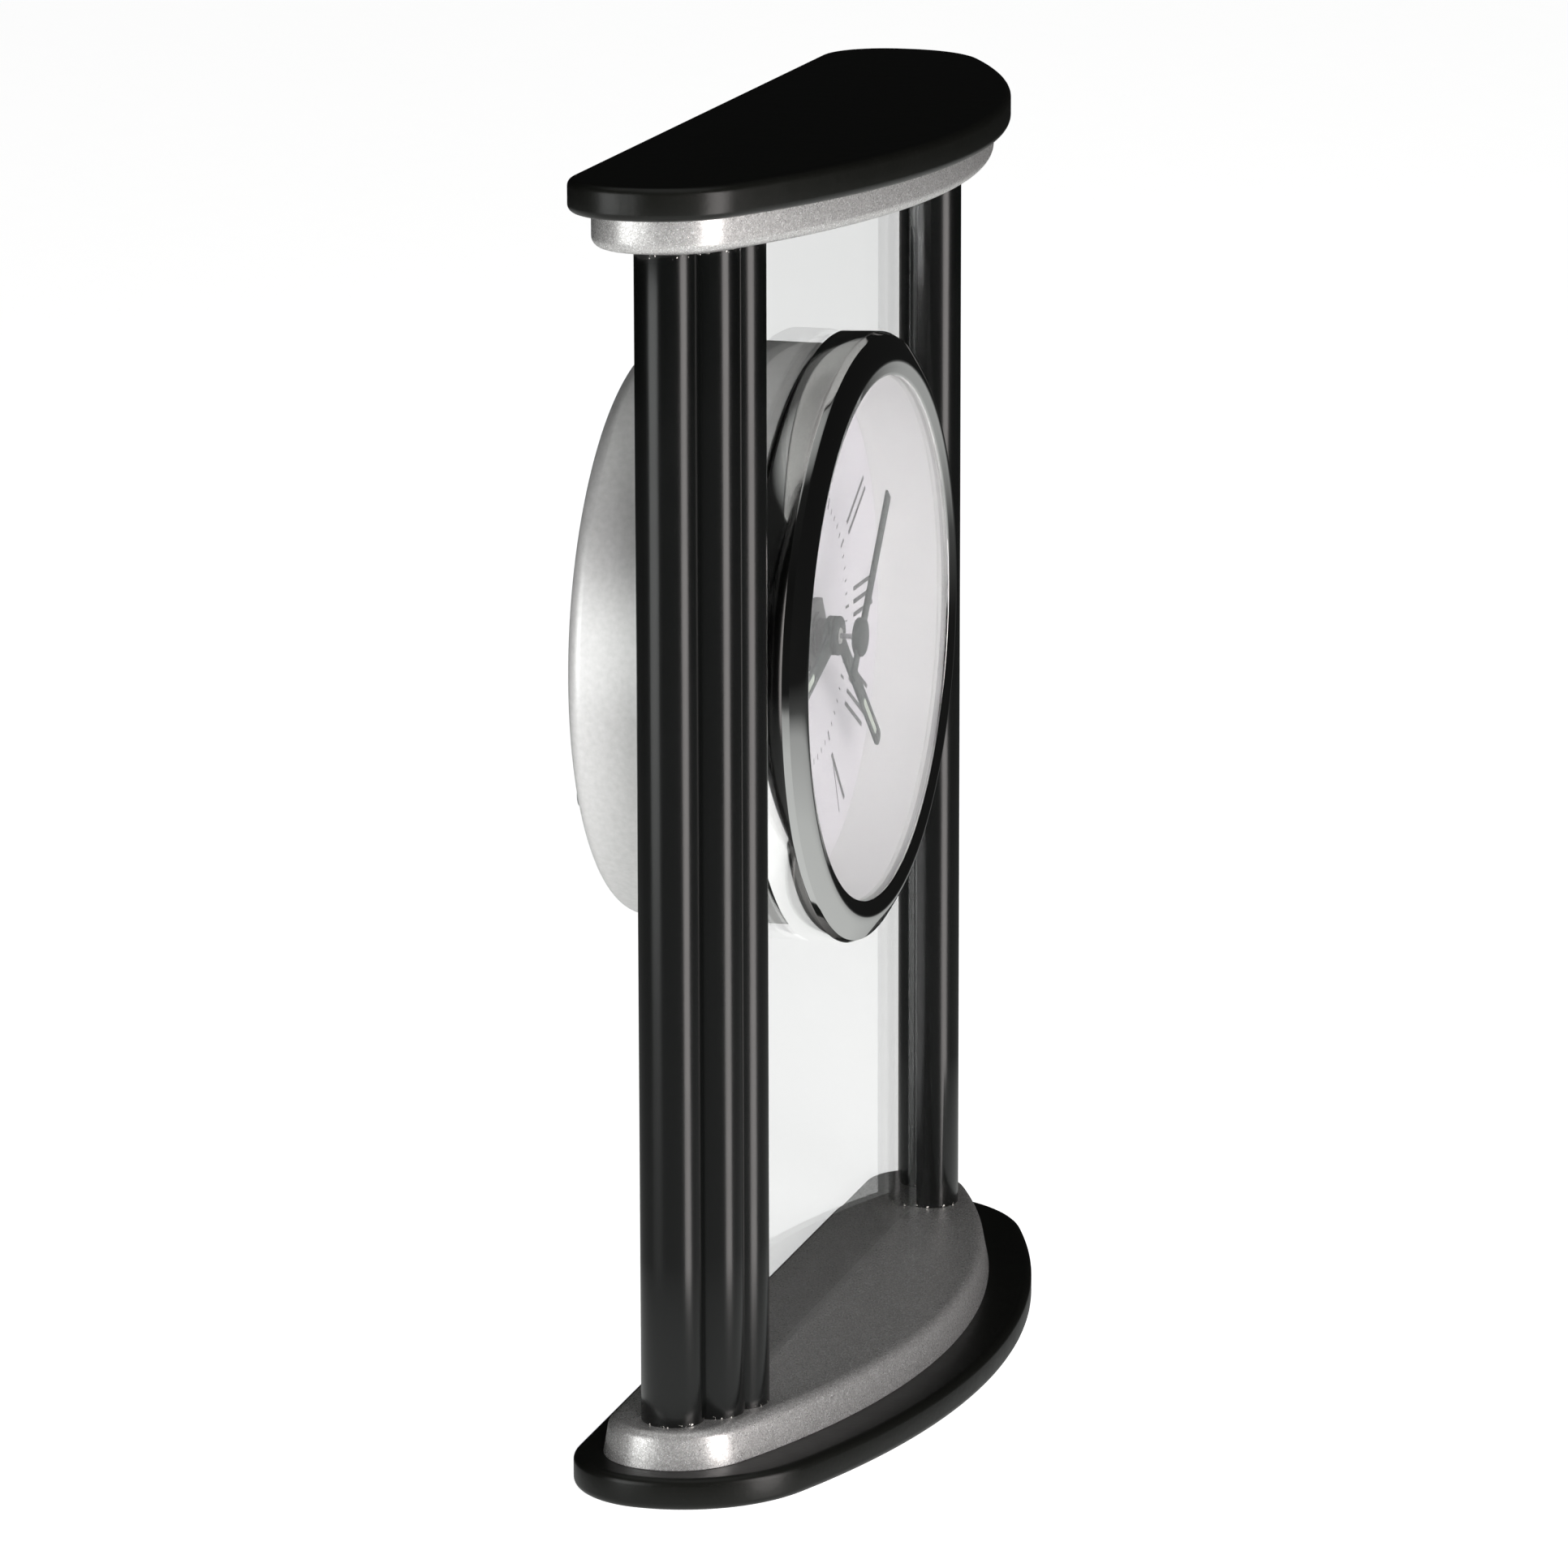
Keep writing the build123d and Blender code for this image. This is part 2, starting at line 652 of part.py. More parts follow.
alarm_pipe_front = alarm_hand_back - collar_thickness
alarm_wheel = disc(alarm_pipe_r, alarm_pipe_front, alarm_layer + 0.2)
alarm_wheel += gear(hour_teeth, fine_module, 7.5, alarm_layer)
alarm_wheel -= disc(hour_pipe_r + running_clearance, alarm_pipe_front - 1, alarm_layer + 3)
alarm_hand = disc(collar_r, alarm_hand_back - collar_thickness, alarm_hand_back)
alarm_hand += pointer(
    alarm_length, alarm_width, 0.0, alarm_tip_width,
    alarm_hand_back - 0.55, alarm_hand_back - 0.15, alarm_angle, False,
)
alarm_hand -= disc(alarm_pipe_r, alarm_hand_back - 1, alarm_hand_back + 1)

post_bore = post_radius + running_clearance
minute_wheel = gear(minute_wheel_teeth, coarse_module, 305, minute_layer, minute_wheel_at, post_bore)
minute_wheel += gear(pinion_teeth, fine_module, 300, hour_layer, minute_wheel_at, post_bore, 2.2)

time_pinion = gear(pinion_teeth, coarse_module, 60, minute_layer, time_at)
alarm_pinion = gear(alarm_pinion_teeth, fine_module, 0, alarm_layer, alarm_at)


def knob(spot, shaft_front):
    """A ribbed setting knob with its shaft."""
    rim_teeth = Sketch() + Circle(knob_radius)
    notch_angles = [360 / knob_notches * k for k in range(knob_notches)]
    rim_teeth -= [Pos(*polar(knob_radius + 0.25, angle)) * Circle(knob_notch_radius) for angle in notch_angles]
    head = push(rim_teeth, knob_front, knob_back, spot)
    return head + disc(shaft_radius, shaft_front, knob_front + 0.1, spot)


time_knob = knob(time_at, minute_layer + gear_thickness)
alarm_knob = knob(alarm_at, alarm_layer + gear_thickness)

switch_front = can_inner_back - 1.3
alarm_switch = block(-8, 4, switch_front, can_inner_back - 0.1, switch_z - 3, switch_z + 3)
alarm_switch += block(
    -2 - thumb_half, -2 + thumb_half, switch_front, knob_back - 0.3, switch_z - 1.3, switch_z + 1.3
)

nodes = {
    "felt_pad": felt_pad,
    "base_plate": base_plate,
    "base_step": base_step,
    "left_column": left_column,
    "right_column": right_column,
    "top_step": top_step,
    "top_plate": top_plate,
    "base_screws": base_screws,
    "top_dowels": top_dowels,
    "glass_panel": glass_panel,
    "glass_cushion": glass_cushion,
    "bezel": bezel,
    "bezel_gasket": bezel_gasket,
    "lens": lens,
    "reflector_ring": reflector_ring,
    "dial": dial,
    "can_gasket": can_gasket,
    "retaining_ring": retaining_ring,
    "rear_can": rear_can,
    "can_screws": can_screws,
    "door_pin": door_pin,
    "battery_door": battery_door,
    "movement_plate": movement_plate,
    "dial_nut": dial_nut,
    "movement_case": movement_case,
    "switch_housing": switch_housing,
    "battery": battery,
    "battery_contact": battery_contact,
    "battery_spring": battery_spring,
    "circuit_board": circuit_board,
    "coil": coil,
    "stator": stator,
    "rotor": rotor,
    "quartz_crystal": quartz_crystal,
    "buzzer": buzzer,
    "second_arbor": second_arbor,
    "second_hand": second_hand,
    "cannon_pinion": cannon_pinion,
    "minute_hand": minute_hand,
    "minute_lume": minute_lume,
    "hour_wheel": hour_wheel,
    "hour_hand": hour_hand,
    "hour_lume": hour_lume,
    "alarm_wheel": alarm_wheel,
    "alarm_hand": alarm_hand,
    "minute_wheel": minute_wheel,
    "time_pinion": time_pinion,
    "time_knob": time_knob,
    "alarm_pinion": alarm_pinion,
    "alarm_knob": alarm_knob,
    "alarm_switch": alarm_switch,
}
for node_name, node_solid in nodes.items():
    save(node_name, node_solid)
print(f"{len(nodes)} nodes saved")
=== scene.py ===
# %% [markdown]
# # A mantel clock in black lacquer, silver and glass
#
# The clock is a stage for one round head. Two stepped boards, black and silver, carry two
# reeded columns, and a sheet of plate glass stands between them. The head is clamped through
# a hole in that glass: a chrome bezel in front, a silver can behind. Everything is placed
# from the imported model, so the first step is to load it and keep its box.

# %% Load the frame
import math

import bmesh
import bpy
from mathutils import Matrix, Vector


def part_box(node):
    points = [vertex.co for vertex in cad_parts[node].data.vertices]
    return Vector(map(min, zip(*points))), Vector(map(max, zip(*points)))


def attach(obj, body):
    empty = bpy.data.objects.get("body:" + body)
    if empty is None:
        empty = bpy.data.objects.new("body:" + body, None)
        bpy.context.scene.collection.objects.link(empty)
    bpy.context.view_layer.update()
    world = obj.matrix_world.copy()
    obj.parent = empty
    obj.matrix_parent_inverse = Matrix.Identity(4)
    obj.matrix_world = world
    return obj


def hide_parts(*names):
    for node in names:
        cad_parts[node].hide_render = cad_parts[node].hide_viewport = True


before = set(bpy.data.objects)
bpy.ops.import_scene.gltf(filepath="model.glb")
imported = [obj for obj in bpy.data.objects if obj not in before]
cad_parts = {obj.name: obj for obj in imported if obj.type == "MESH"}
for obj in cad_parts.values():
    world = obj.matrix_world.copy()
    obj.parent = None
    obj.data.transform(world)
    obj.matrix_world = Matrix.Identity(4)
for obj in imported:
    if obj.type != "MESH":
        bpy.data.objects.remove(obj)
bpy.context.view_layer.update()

# %% [markdown]
# A few lengths are read from the model rather than typed in: where the floor, the glass and
# the head are. One millimetre is a thousandth of Blender's metre, so a small factor keeps the
# numbers below in the unit a clockmaker would use.

# %% Measure the frame
MM = 0.001
glass_low, glass_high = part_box("glass_panel")
bezel_low, bezel_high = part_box("bezel")
dial_low, dial_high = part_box("dial")
lens_low, lens_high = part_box("lens")
glass_front = glass_low[1]
glass_back = glass_high[1]
head_z = (bezel_low[2] + bezel_high[2]) / 2
dial_front = dial_low[1]
print("head centre height", round(head_z / MM, 2), "glass from", round(glass_front / MM, 2))

# %% [markdown]
# Three small helpers do most of the modelling. The first turns vertices and faces into a
# named piece that rides on a body and stands for a node of the model. The second joins a
# stack of matching rings into a skin. The third revolves a profile about the head's axis.
# Rings are better than primitives here, because every edge can be rounded on purpose.

# %% Helpers for building pieces
PIECES = []


def make_piece(name, verts, faces, body, material, stands_for=(), sharp=35.0):
    """Create a mesh piece, shade it smooth except across sharp edges, and give it to a body."""
    mesh = bpy.data.meshes.new(name)
    mesh.from_pydata([tuple(v) for v in verts], [], faces)
    mesh.validate()
    work = bmesh.new()
    work.from_mesh(mesh)
    bmesh.ops.recalc_face_normals(work, faces=work.faces)
    work.to_mesh(mesh)
    work.free()
    mesh.shade_smooth()
    mesh.set_sharp_from_angle(angle=math.radians(sharp))
    piece = bpy.data.objects.new(name, mesh)
    bpy.context.scene.collection.objects.link(piece)
    mesh.materials.append(material)
    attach(piece, body)
    if stands_for:
        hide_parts(*stands_for)
    PIECES.append(piece)
    return piece


def skin(rings, close_start=True, close_end=True, loop=False):
    """Vertices and faces of a skin through rings that all have the same number of points."""
    count = len(rings[0])
    verts = [point for ring in rings for point in ring]
    faces = []
    steps = len(rings) if loop else len(rings) - 1
    for row in range(steps):
        here = row * count
        there = ((row + 1) % len(rings)) * count
        for k in range(count):
            after = (k + 1) % count
            faces.append((here + k, here + after, there + after, there + k))
    if close_start and not loop:
        faces.append(tuple(reversed(range(count))))
    if close_end and not loop:
        faces.append(tuple((len(rings) - 1) * count + k for k in range(count)))
    return verts, faces


def revolve(profile, segments=192, centre=(0.0, 0.0)):
    """A ring-shaped skin from a closed outline of (radius, y), turned about the head's axis."""
    rings = []
    for radius, y in profile:
        ring = []
        for k in range(segments):
            angle = 2 * math.pi * k / segments
            x = centre[0] + radius * math.sin(angle)
            z = head_z + centre[1] + radius * math.cos(angle)
            ring.append((x, y, z))
        rings.append(ring)
    return skin(rings, loop=True)


def arc(centre, radius, start, end, steps):
    """Points on an arc in a plane, from one angle to another in degrees."""
    points = []
    for k in range(steps + 1):
        angle = math.radians(start + (end - start) * k / steps)
        points.append((centre[0] + radius * math.cos(angle), centre[1] + radius * math.sin(angle)))
    return points


# %% [markdown]
# ## Finishes
#
# Each finish is a small node tree on one Principled shader. Real surfaces are never one flat
# value: lacquer has orange peel, metallic paint has flakes, plated metal has fine haze. So
# every finish gets noise in its colour or roughness and a little bump, at the true scale of
# the real thing. Values that don't vary are set on the shader itself.

# %% Helpers for node trees
def new_finish(name):
    """A material with one Principled shader, and the nodes and links to add to it."""
    material = bpy.data.materials.new(name)
    material.use_nodes = True
    tree = material.node_tree
    shader = tree.nodes["Principled BSDF"]
    return material, tree, shader


def set_values(shader, **values):
    """Set sockets of the shader by name, with underscores for spaces."""
    for key, value in values.items():
        shader.inputs[key.replace("_", " ")].default_value = value


def object_space(tree):
    """Coordinates in metres, fixed to the object."""
    return tree.nodes.new("ShaderNodeTexCoord").outputs["Object"]


def noise(tree, scale, detail=2.0, roughness=0.5, vector=None, stretch=None):
    """A noise texture's factor; scale is in cycles per metre."""
    node = tree.nodes.new("ShaderNodeTexNoise")
    node.inputs["Scale"].default_value = scale
    node.inputs["Detail"].default_value = detail
    node.inputs["Roughness"].default_value = roughness
    source = vector or object_space(tree)
    if stretch:
        mapping = tree.nodes.new("ShaderNodeMapping")
        mapping.inputs["Scale"].default_value = stretch
        tree.links.new(source, mapping.inputs["Vector"])
        source = mapping.outputs["Vector"]
    tree.links.new(source, node.inputs["Vector"])
    return node.outputs["Fac"]


def spread(tree, factor, low, high, start=0.0, end=1.0):
    """Map a factor from start..end on to low..high."""
    node = tree.nodes.new("ShaderNodeMapRange")
    node.inputs["From Min"].default_value = start
    node.inputs["From Max"].default_value = end
    node.inputs["To Min"].default_value = low
    node.inputs["To Max"].default_value = high
    tree.links.new(factor, node.inputs["Value"])
    return node.outputs["Result"]


def colours(tree, factor, stops):
    """A colour ramp: stops are (position, (r, g, b))."""
    node = tree.nodes.new("ShaderNodeValToRGB")
    ramp = node.color_ramp
    while len(ramp.elements) < len(stops):
        ramp.elements.new(0.5)
    for element, (position, rgb) in zip(ramp.elements, stops):
        element.position = position
        element.color = (*rgb, 1.0)
    tree.links.new(factor, node.inputs["Fac"])
    return node.outputs["Color"]


def bump(tree, shader, height, strength, distance, under=None):
    """Raise the surface by a height factor; distance is in metres."""
    node = tree.nodes.new("ShaderNodeBump")
    node.inputs["Strength"].default_value = strength
    node.inputs["Distance"].default_value = distance
    tree.links.new(height, node.inputs["Height"])
    if under:
        tree.links.new(under, node.inputs["Normal"])
    tree.links.new(node.outputs["Normal"], shader.inputs["Normal"])
    return node.outputs["Normal"]


# %% [markdown]
# The boards are sprayed black. The film is satin: on the flat tops it goes almost dead black,
# and on the rounded edges it rolls up a soft light with the slight waviness painters call
# orange peel. Fine specks of dust sit in it too, which a second, much finer noise stands for.

# %% Black board lacquer
def black_board_lacquer():
    material, tree, shader = new_finish("black_board_lacquer")
    set_values(shader, Specular_IOR_Level=0.42, Coat_Weight=0.12, Coat_Roughness=0.22)
    cloud = noise(tree, 160.0, 3.0)
    dust = noise(tree, 2600.0, 1.0)
    peel = noise(tree, 900.0, 2.0)
    tree.links.new(colours(tree, dust, ((0.0, (0.0025, 0.0027, 0.0022)), (0.74, (0.0035, 0.0036, 0.003)),
                                        (0.90, (0.020, 0.019, 0.018)))), shader.inputs["Base Color"])
    tree.links.new(spread(tree, cloud, 0.27, 0.40), shader.inputs["Roughness"])
    bump(tree, shader, peel, 0.12, 0.0002)
    return material


# %% [markdown]
# The two silver steps are metallic paint: flakes of aluminium in a clear binder. Each flake is
# a tiny mirror with its own tilt, which is why the paint sparkles. Cell noise about 0.2 mm
# across tilts the surface flake by flake and changes how bright each one is.

# %% Silver flake paint
def silver_flake_paint():
    material, tree, shader = new_finish("silver_flake_paint")
    set_values(shader, Metallic=0.84, Coat_Weight=0.06, Coat_Roughness=0.30)
    cells = tree.nodes.new("ShaderNodeTexVoronoi")
    cells.inputs["Scale"].default_value = 5200.0
    tree.links.new(object_space(tree), cells.inputs["Vector"])
    split = tree.nodes.new("ShaderNodeSeparateColor")
    tree.links.new(cells.outputs["Color"], split.inputs["Color"])
    tree.links.new(
        colours(tree, split.outputs["Red"], ((0.0, (0.50, 0.49, 0.485)), (0.55, (0.66, 0.65, 0.64)),
                                             (0.90, (0.80, 0.79, 0.78)), (1.0, (1.0, 1.0, 1.0)))),
        shader.inputs["Base Color"],
    )
    tree.links.new(spread(tree, split.outputs["Green"], 0.26, 0.46), shader.inputs["Roughness"])
    soft = bump(tree, shader, noise(tree, 700.0, 2.0), 0.10, 0.0002)
    bump(tree, shader, split.outputs["Blue"], 0.22, 0.00005, under=soft)
    return material


# %% [markdown]
# The columns carry a thicker, glossier black than the boards, so each reed shows a crisp
# upright reflection. Long, faint waves run up the reeds where the coat sagged a little, and
# at the very ends, where the reeds were cut and fitted, small chips show the pale primer.
# The chips are a noise pattern that only exists within a millimetre of each end.

# %% Column gloss
column_low, column_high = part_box("left_column")


def column_gloss():
    material, tree, shader = new_finish("column_gloss")
    set_values(shader, Specular_IOR_Level=0.5, Coat_Weight=0.25, Coat_Roughness=0.16)
    place = object_space(tree)
    split = tree.nodes.new("ShaderNodeSeparateXYZ")
    tree.links.new(place, split.inputs["Vector"])
    height = split.outputs["Z"]
    near_foot = spread(tree, height, 1.0, 0.0, column_low[2] + 0.2 * MM, column_low[2] + 0.8 * MM)
    near_head = spread(tree, height, 0.0, 1.0, column_high[2] - 1.4 * MM, column_high[2] - 0.3 * MM)
    ends = tree.nodes.new("ShaderNodeMath")
    ends.operation = "MAXIMUM"
    tree.links.new(near_foot, ends.inputs[0])
    tree.links.new(near_head, ends.inputs[1])
    flakes = spread(tree, noise(tree, 1500.0, 3.0, 0.7), 0.0, 1.0, 0.60, 0.66)
    chips = tree.nodes.new("ShaderNodeMath")
    chips.operation = "MULTIPLY"
    tree.links.new(ends.outputs[0], chips.inputs[0])
    tree.links.new(flakes, chips.inputs[1])
    tree.links.new(
        colours(tree, chips.outputs[0], ((0.0, (0.0018, 0.0020, 0.0019)), (0.30, (0.004, 0.004, 0.004)),
                                         (0.55, (0.60, 0.58, 0.54)))),
        shader.inputs["Base Color"],
    )
    tree.links.new(spread(tree, noise(tree, 90.0, 3.0), 0.20, 0.28), shader.inputs["Roughness"])
    soft = bump(tree, shader, noise(tree, 260.0, 2.0, stretch=(1.0, 1.0, 0.12)), 0.05, 0.0004)
    bump(tree, shader, noise(tree, 2400.0, 1.0), 0.05, 0.00006, under=soft)
    return material


# %% [markdown]
# The bezel is chromium over polished brass. A perfect mirror looks like computer graphics, so
# a very fine haze changes the roughness, and shallow swirls from the polishing wheel bend the
# reflections slightly.

# %% Bright plate, satin silver and steel
def bright_plate():
    material, tree, shader = new_finish("bright_plate")
    set_values(shader, Metallic=1.0)
    tree.links.new(colours(tree, noise(tree, 35.0, 2.0), ((0.0, (0.80, 0.80, 0.80)), (1.0, (0.88, 0.88, 0.87)))),
                   shader.inputs["Base Color"])
    tree.links.new(spread(tree, noise(tree, 420.0, 3.0), 0.035, 0.085), shader.inputs["Roughness"])
    bump(tree, shader, noise(tree, 120.0, 1.0), 0.03, 0.0003)
    return material


def satin_metal(name, dark, light, rough, grain=900.0, metallic=0.9, lift=0.08):
    """A painted or plated metal with an even, fine-grained surface."""
    material, tree, shader = new_finish(name)
    set_values(shader, Metallic=metallic)
    tree.links.new(colours(tree, noise(tree, grain, 3.0), ((0.25, dark), (0.75, light))), shader.inputs["Base Color"])
    tree.links.new(spread(tree, noise(tree, grain / 4, 2.0), rough - 0.05, rough + 0.06), shader.inputs["Roughness"])
    bump(tree, shader, noise(tree, grain * 2.5, 2.0), lift, 0.0001)
    return material


# %% [markdown]
# Moulded plastic, print and rubber share one recipe: a base colour that drifts a little, a
# fine mould texture in the bump, and a roughness chosen for each. The dial card is the same
# recipe with paper-fine grain and a cool, slightly lilac white.

# %% Plastics, card and rubber
def moulded(name, dark, light, rough, grain=1400.0, lift=0.06, specular=0.5):
    material, tree, shader = new_finish(name)
    set_values(shader, Specular_IOR_Level=specular)
    tree.links.new(colours(tree, noise(tree, 60.0, 3.0), ((0.2, dark), (0.8, light))), shader.inputs["Base Color"])
    tree.links.new(spread(tree, noise(tree, grain / 5, 2.0), rough - 0.05, rough + 0.05), shader.inputs["Roughness"])
    bump(tree, shader, noise(tree, grain, 2.0), lift, 0.0001)
    return material


# %% [markdown]
# Plate glass looks clear face on and green from the side, because iron in it absorbs a little
# red along the way. So the shader is clear and the colour is in the volume: the longer the
# path through the glass, the greener it gets. The lens is thinner, clearer stock.

# %% Glass
def clear_glass(name, tint, density, rough):
    material, tree, shader = new_finish(name)
    set_values(shader, Transmission_Weight=1.0, IOR=1.5, Base_Color=(1.0, 1.0, 1.0, 1.0))
    tree.links.new(spread(tree, noise(tree, 45.0, 2.0), rough, rough + 0.012), shader.inputs["Roughness"])
    bump(tree, shader, noise(tree, 22.0, 1.0), 0.01, 0.0004)
    absorb = tree.nodes.new("ShaderNodeVolumeAbsorption")
    absorb.inputs["Color"].default_value = (*tint, 1.0)
    absorb.inputs["Density"].default_value = density
    output = tree.nodes["Material Output"]
    tree.links.new(absorb.outputs["Volume"], output.inputs["Volume"])
    return material


finish = {
    "black_board": black_board_lacquer(),
    "silver_flake": silver_flake_paint(),
    "column_gloss": column_gloss(),
    "bright_plate": bright_plate(),
    "can_silver": satin_metal("can_silver", (0.76, 0.76, 0.75), (0.86, 0.855, 0.85), 0.42, 900.0, 0.62),
    "screw_steel": satin_metal("screw_steel", (0.42, 0.42, 0.43), (0.60, 0.60, 0.62), 0.30, 1500.0, 1.0),
    "copper_wire": satin_metal("copper_wire", (0.45, 0.18, 0.07), (0.68, 0.32, 0.14), 0.35, 2500.0, 1.0, 0.3),
    "dial_card": moulded("dial_card", (0.80, 0.77, 0.82), (0.84, 0.82, 0.85), 0.62, 3500.0, 0.05, 0.3),
    "dial_ink": moulded("dial_ink", (0.055, 0.055, 0.06), (0.08, 0.08, 0.085), 0.5, 3500.0, 0.05, 0.3),
    "white_ring": moulded("white_ring", (0.78, 0.775, 0.765), (0.82, 0.815, 0.81), 0.38, 1800.0, 0.03),
    "hand_paint": moulded("hand_paint", (0.016, 0.026, 0.023), (0.028, 0.042, 0.038), 0.50, 2600.0, 0.06, 0.25),
    "lume_paint": moulded("lume_paint", (0.62, 0.68, 0.58), (0.74, 0.79, 0.70), 0.75, 4200.0, 0.35, 0.2),
    "black_rubber": moulded("black_rubber", (0.012, 0.012, 0.012), (0.022, 0.022, 0.021), 0.6),
    "black_moulding": moulded("black_moulding", (0.014, 0.014, 0.014), (0.026, 0.026, 0.026), 0.45),
    "grey_moulding": satin_metal("grey_moulding", (0.50, 0.50, 0.50), (0.58, 0.58, 0.58), 0.46, 1300.0, 0.7),
    "white_acetal": moulded("white_acetal", (0.80, 0.80, 0.77), (0.86, 0.86, 0.83), 0.40),
    "yellow_acetal": moulded("yellow_acetal", (0.70, 0.58, 0.20), (0.80, 0.68, 0.28), 0.40),
    "green_board": moulded("green_board", (0.02, 0.13, 0.05), (0.03, 0.18, 0.08), 0.35),
    "felt": moulded("felt", (0.010, 0.012, 0.010), (0.030, 0.034, 0.030), 0.95, 5200.0, 0.9, 0.1),
    "beech": moulded("beech", (0.48, 0.33, 0.19), (0.60, 0.44, 0.27), 0.6, 700.0, 0.2, 0.3),
    "clear_strip": moulded("clear_strip", (0.62, 0.62, 0.58), (0.70, 0.70, 0.66), 0.35),
    "battery_sleeve": satin_metal("battery_sleeve", (0.03, 0.07, 0.12), (0.04, 0.09, 0.15), 0.32, 600.0, 0.4),
    "plate_glass": clear_glass("plate_glass", (0.72, 0.86, 0.79), 7.0, 0.0),
    "clear_lens": clear_glass("clear_lens", (0.85, 0.93, 0.90), 10.0, 0.0),
}
print("finishes:", len(finish))

# %% [markdown]
# ## The boards
#
# All four boards share one D-shaped plan: a straight back, a bow front and four round corners,
# the front ones larger. One function draws the plan at any inset. Stacking the plan at rising
# heights, with the inset following a quarter circle, rounds an edge exactly as a router would.

# %% Draw the D-shaped plan
def d_plan(half, back, front, shoulder, front_r, back_r, inset=0.0, bow_steps=96, corner_steps=28):
    """Points round a board, in metres, counted from the middle of the bow."""
    half, back, front, shoulder = half - inset, back - inset, front + inset, shoulder + inset
    front_r, back_r = front_r - inset, back_r - inset
    rise = shoulder - front
    bow = (half ** 2 + rise ** 2) / (2 * rise)
    bow_y = front + bow
    corner_x = half - front_r
    corner_y = bow_y - math.sqrt((bow - front_r) ** 2 - corner_x ** 2)
    meet = math.degrees(math.atan2(corner_y - bow_y, corner_x))
    right = arc((0.0, bow_y), bow, -90.0, meet, bow_steps)
    right += arc((corner_x, corner_y), front_r, meet, 0.0, corner_steps)[1:]
    right += arc((half - back_r, back - back_r), back_r, 0.0, 90.0, corner_steps)
    left = [(-x, y) for x, y in reversed(right[1:])]
    return right + left


def board_rings(plan, levels):
    """Rings of a board from (height, inset) levels."""
    return [[(x, y, z) for x, y in d_plan(*plan, inset=inset)] for z, inset in levels]


def rounded_levels(low, high, low_r, high_r, lean=0.0, steps=7):
    """Heights and insets of a board with both edges rounded; lean is how far its sides lean in."""
    levels = []
    for k in range(steps + 1):
        turn = math.pi / 2 * k / steps
        levels.append((low + low_r * (1 - math.cos(turn)), low_r * (1 - math.sin(turn))))
    for k in range(steps + 1):
        turn = math.pi / 2 * k / steps
        levels.append((high - high_r * (1 - math.sin(turn)), lean + high_r * (1 - math.cos(turn))))
    return levels


# %% [markdown]
# The plan's half width, back and front come from the model's boxes, and only the shoulders
# and corner radii are given here. The base plate is the largest; its silver step stands on it
# with sides that lean in, and the top repeats the pair upside down.

# %% Make the four boards
board_shapes = {
    "base_plate": (-10.8, 27.0, 16.1, 1.4, 1.4, 0.0, "black_board", "black_lacquer"),
    "base_step": (-3.3, 15.0, 11.2, 0.15, 2.0, 0.8, "silver_flake", "silver_lacquer"),
    "top_step": (-2.3, 14.2, 11.2, 2.0, 0.15, 0.0, "silver_flake", "silver_lacquer"),
    "top_plate": (-2.9, 18.1, 12.8, 1.4, 1.4, 0.0, "black_board", "black_lacquer"),
}
for node, (shoulder, front_r, back_r, low_r, high_r, lean, look, slot) in board_shapes.items():
    low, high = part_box(node)
    plan = (high[0], high[1], low[1], shoulder * MM, front_r * MM, back_r * MM)
    levels = rounded_levels(low[2], high[2], low_r * MM, high_r * MM, lean * MM)
    verts, faces = skin(board_rings(plan, levels))
    board = make_piece(f"{node}_board", verts, faces, "clock", finish[look], (node,), sharp=50.0)
    print(board.name, len(board.data.vertices), "vertices")

# %% [markdown]
# ## The columns
#
# A column is three round reeds fused side by side. Its outline is therefore three arcs joined
# in sharp valleys, and the valleys are what catch the eye. The outline is worked out from the
# circles: each arc runs between the points where it crosses its neighbours. The glass slides
# into a slot that cuts the innermost reed, so its back half is missing.

# %% Work out the column outline
reed_radius = 5.6 * MM
reeds = [(79.1 * MM, 4.9 * MM), (72.3 * MM, -0.6 * MM), (65.6 * MM, -3.2 * MM)]
slot_end = 67.3 * MM
slot_front = glass_front - 0.05 * MM


def crossings(one, two, radius):
    """The two points where equal circles cross: first the front one, then the back one."""
    middle = ((one[0] + two[0]) / 2, (one[1] + two[1]) / 2)
    gap = math.hypot(two[0] - one[0], two[1] - one[1])
    reach = math.sqrt(radius ** 2 - (gap / 2) ** 2)
    across = ((two[1] - one[1]) / gap, -(two[0] - one[0]) / gap)
    pair = [(middle[0] + sign * reach * across[0], middle[1] + sign * reach * across[1]) for sign in (1, -1)]
    return sorted(pair, key=lambda point: point[1])


def angle_of(point, centre):
    return math.degrees(math.atan2(point[1] - centre[1], point[0] - centre[0]))


def reed_arc(centre, start, end, steps):
    """Anticlockwise arc of one reed between two points on it."""
    begin = angle_of(start, centre)
    finish_at = angle_of(end, centre)
    if finish_at <= begin:
        finish_at += 360.0
    return arc(centre, reed_radius, begin, finish_at, steps)


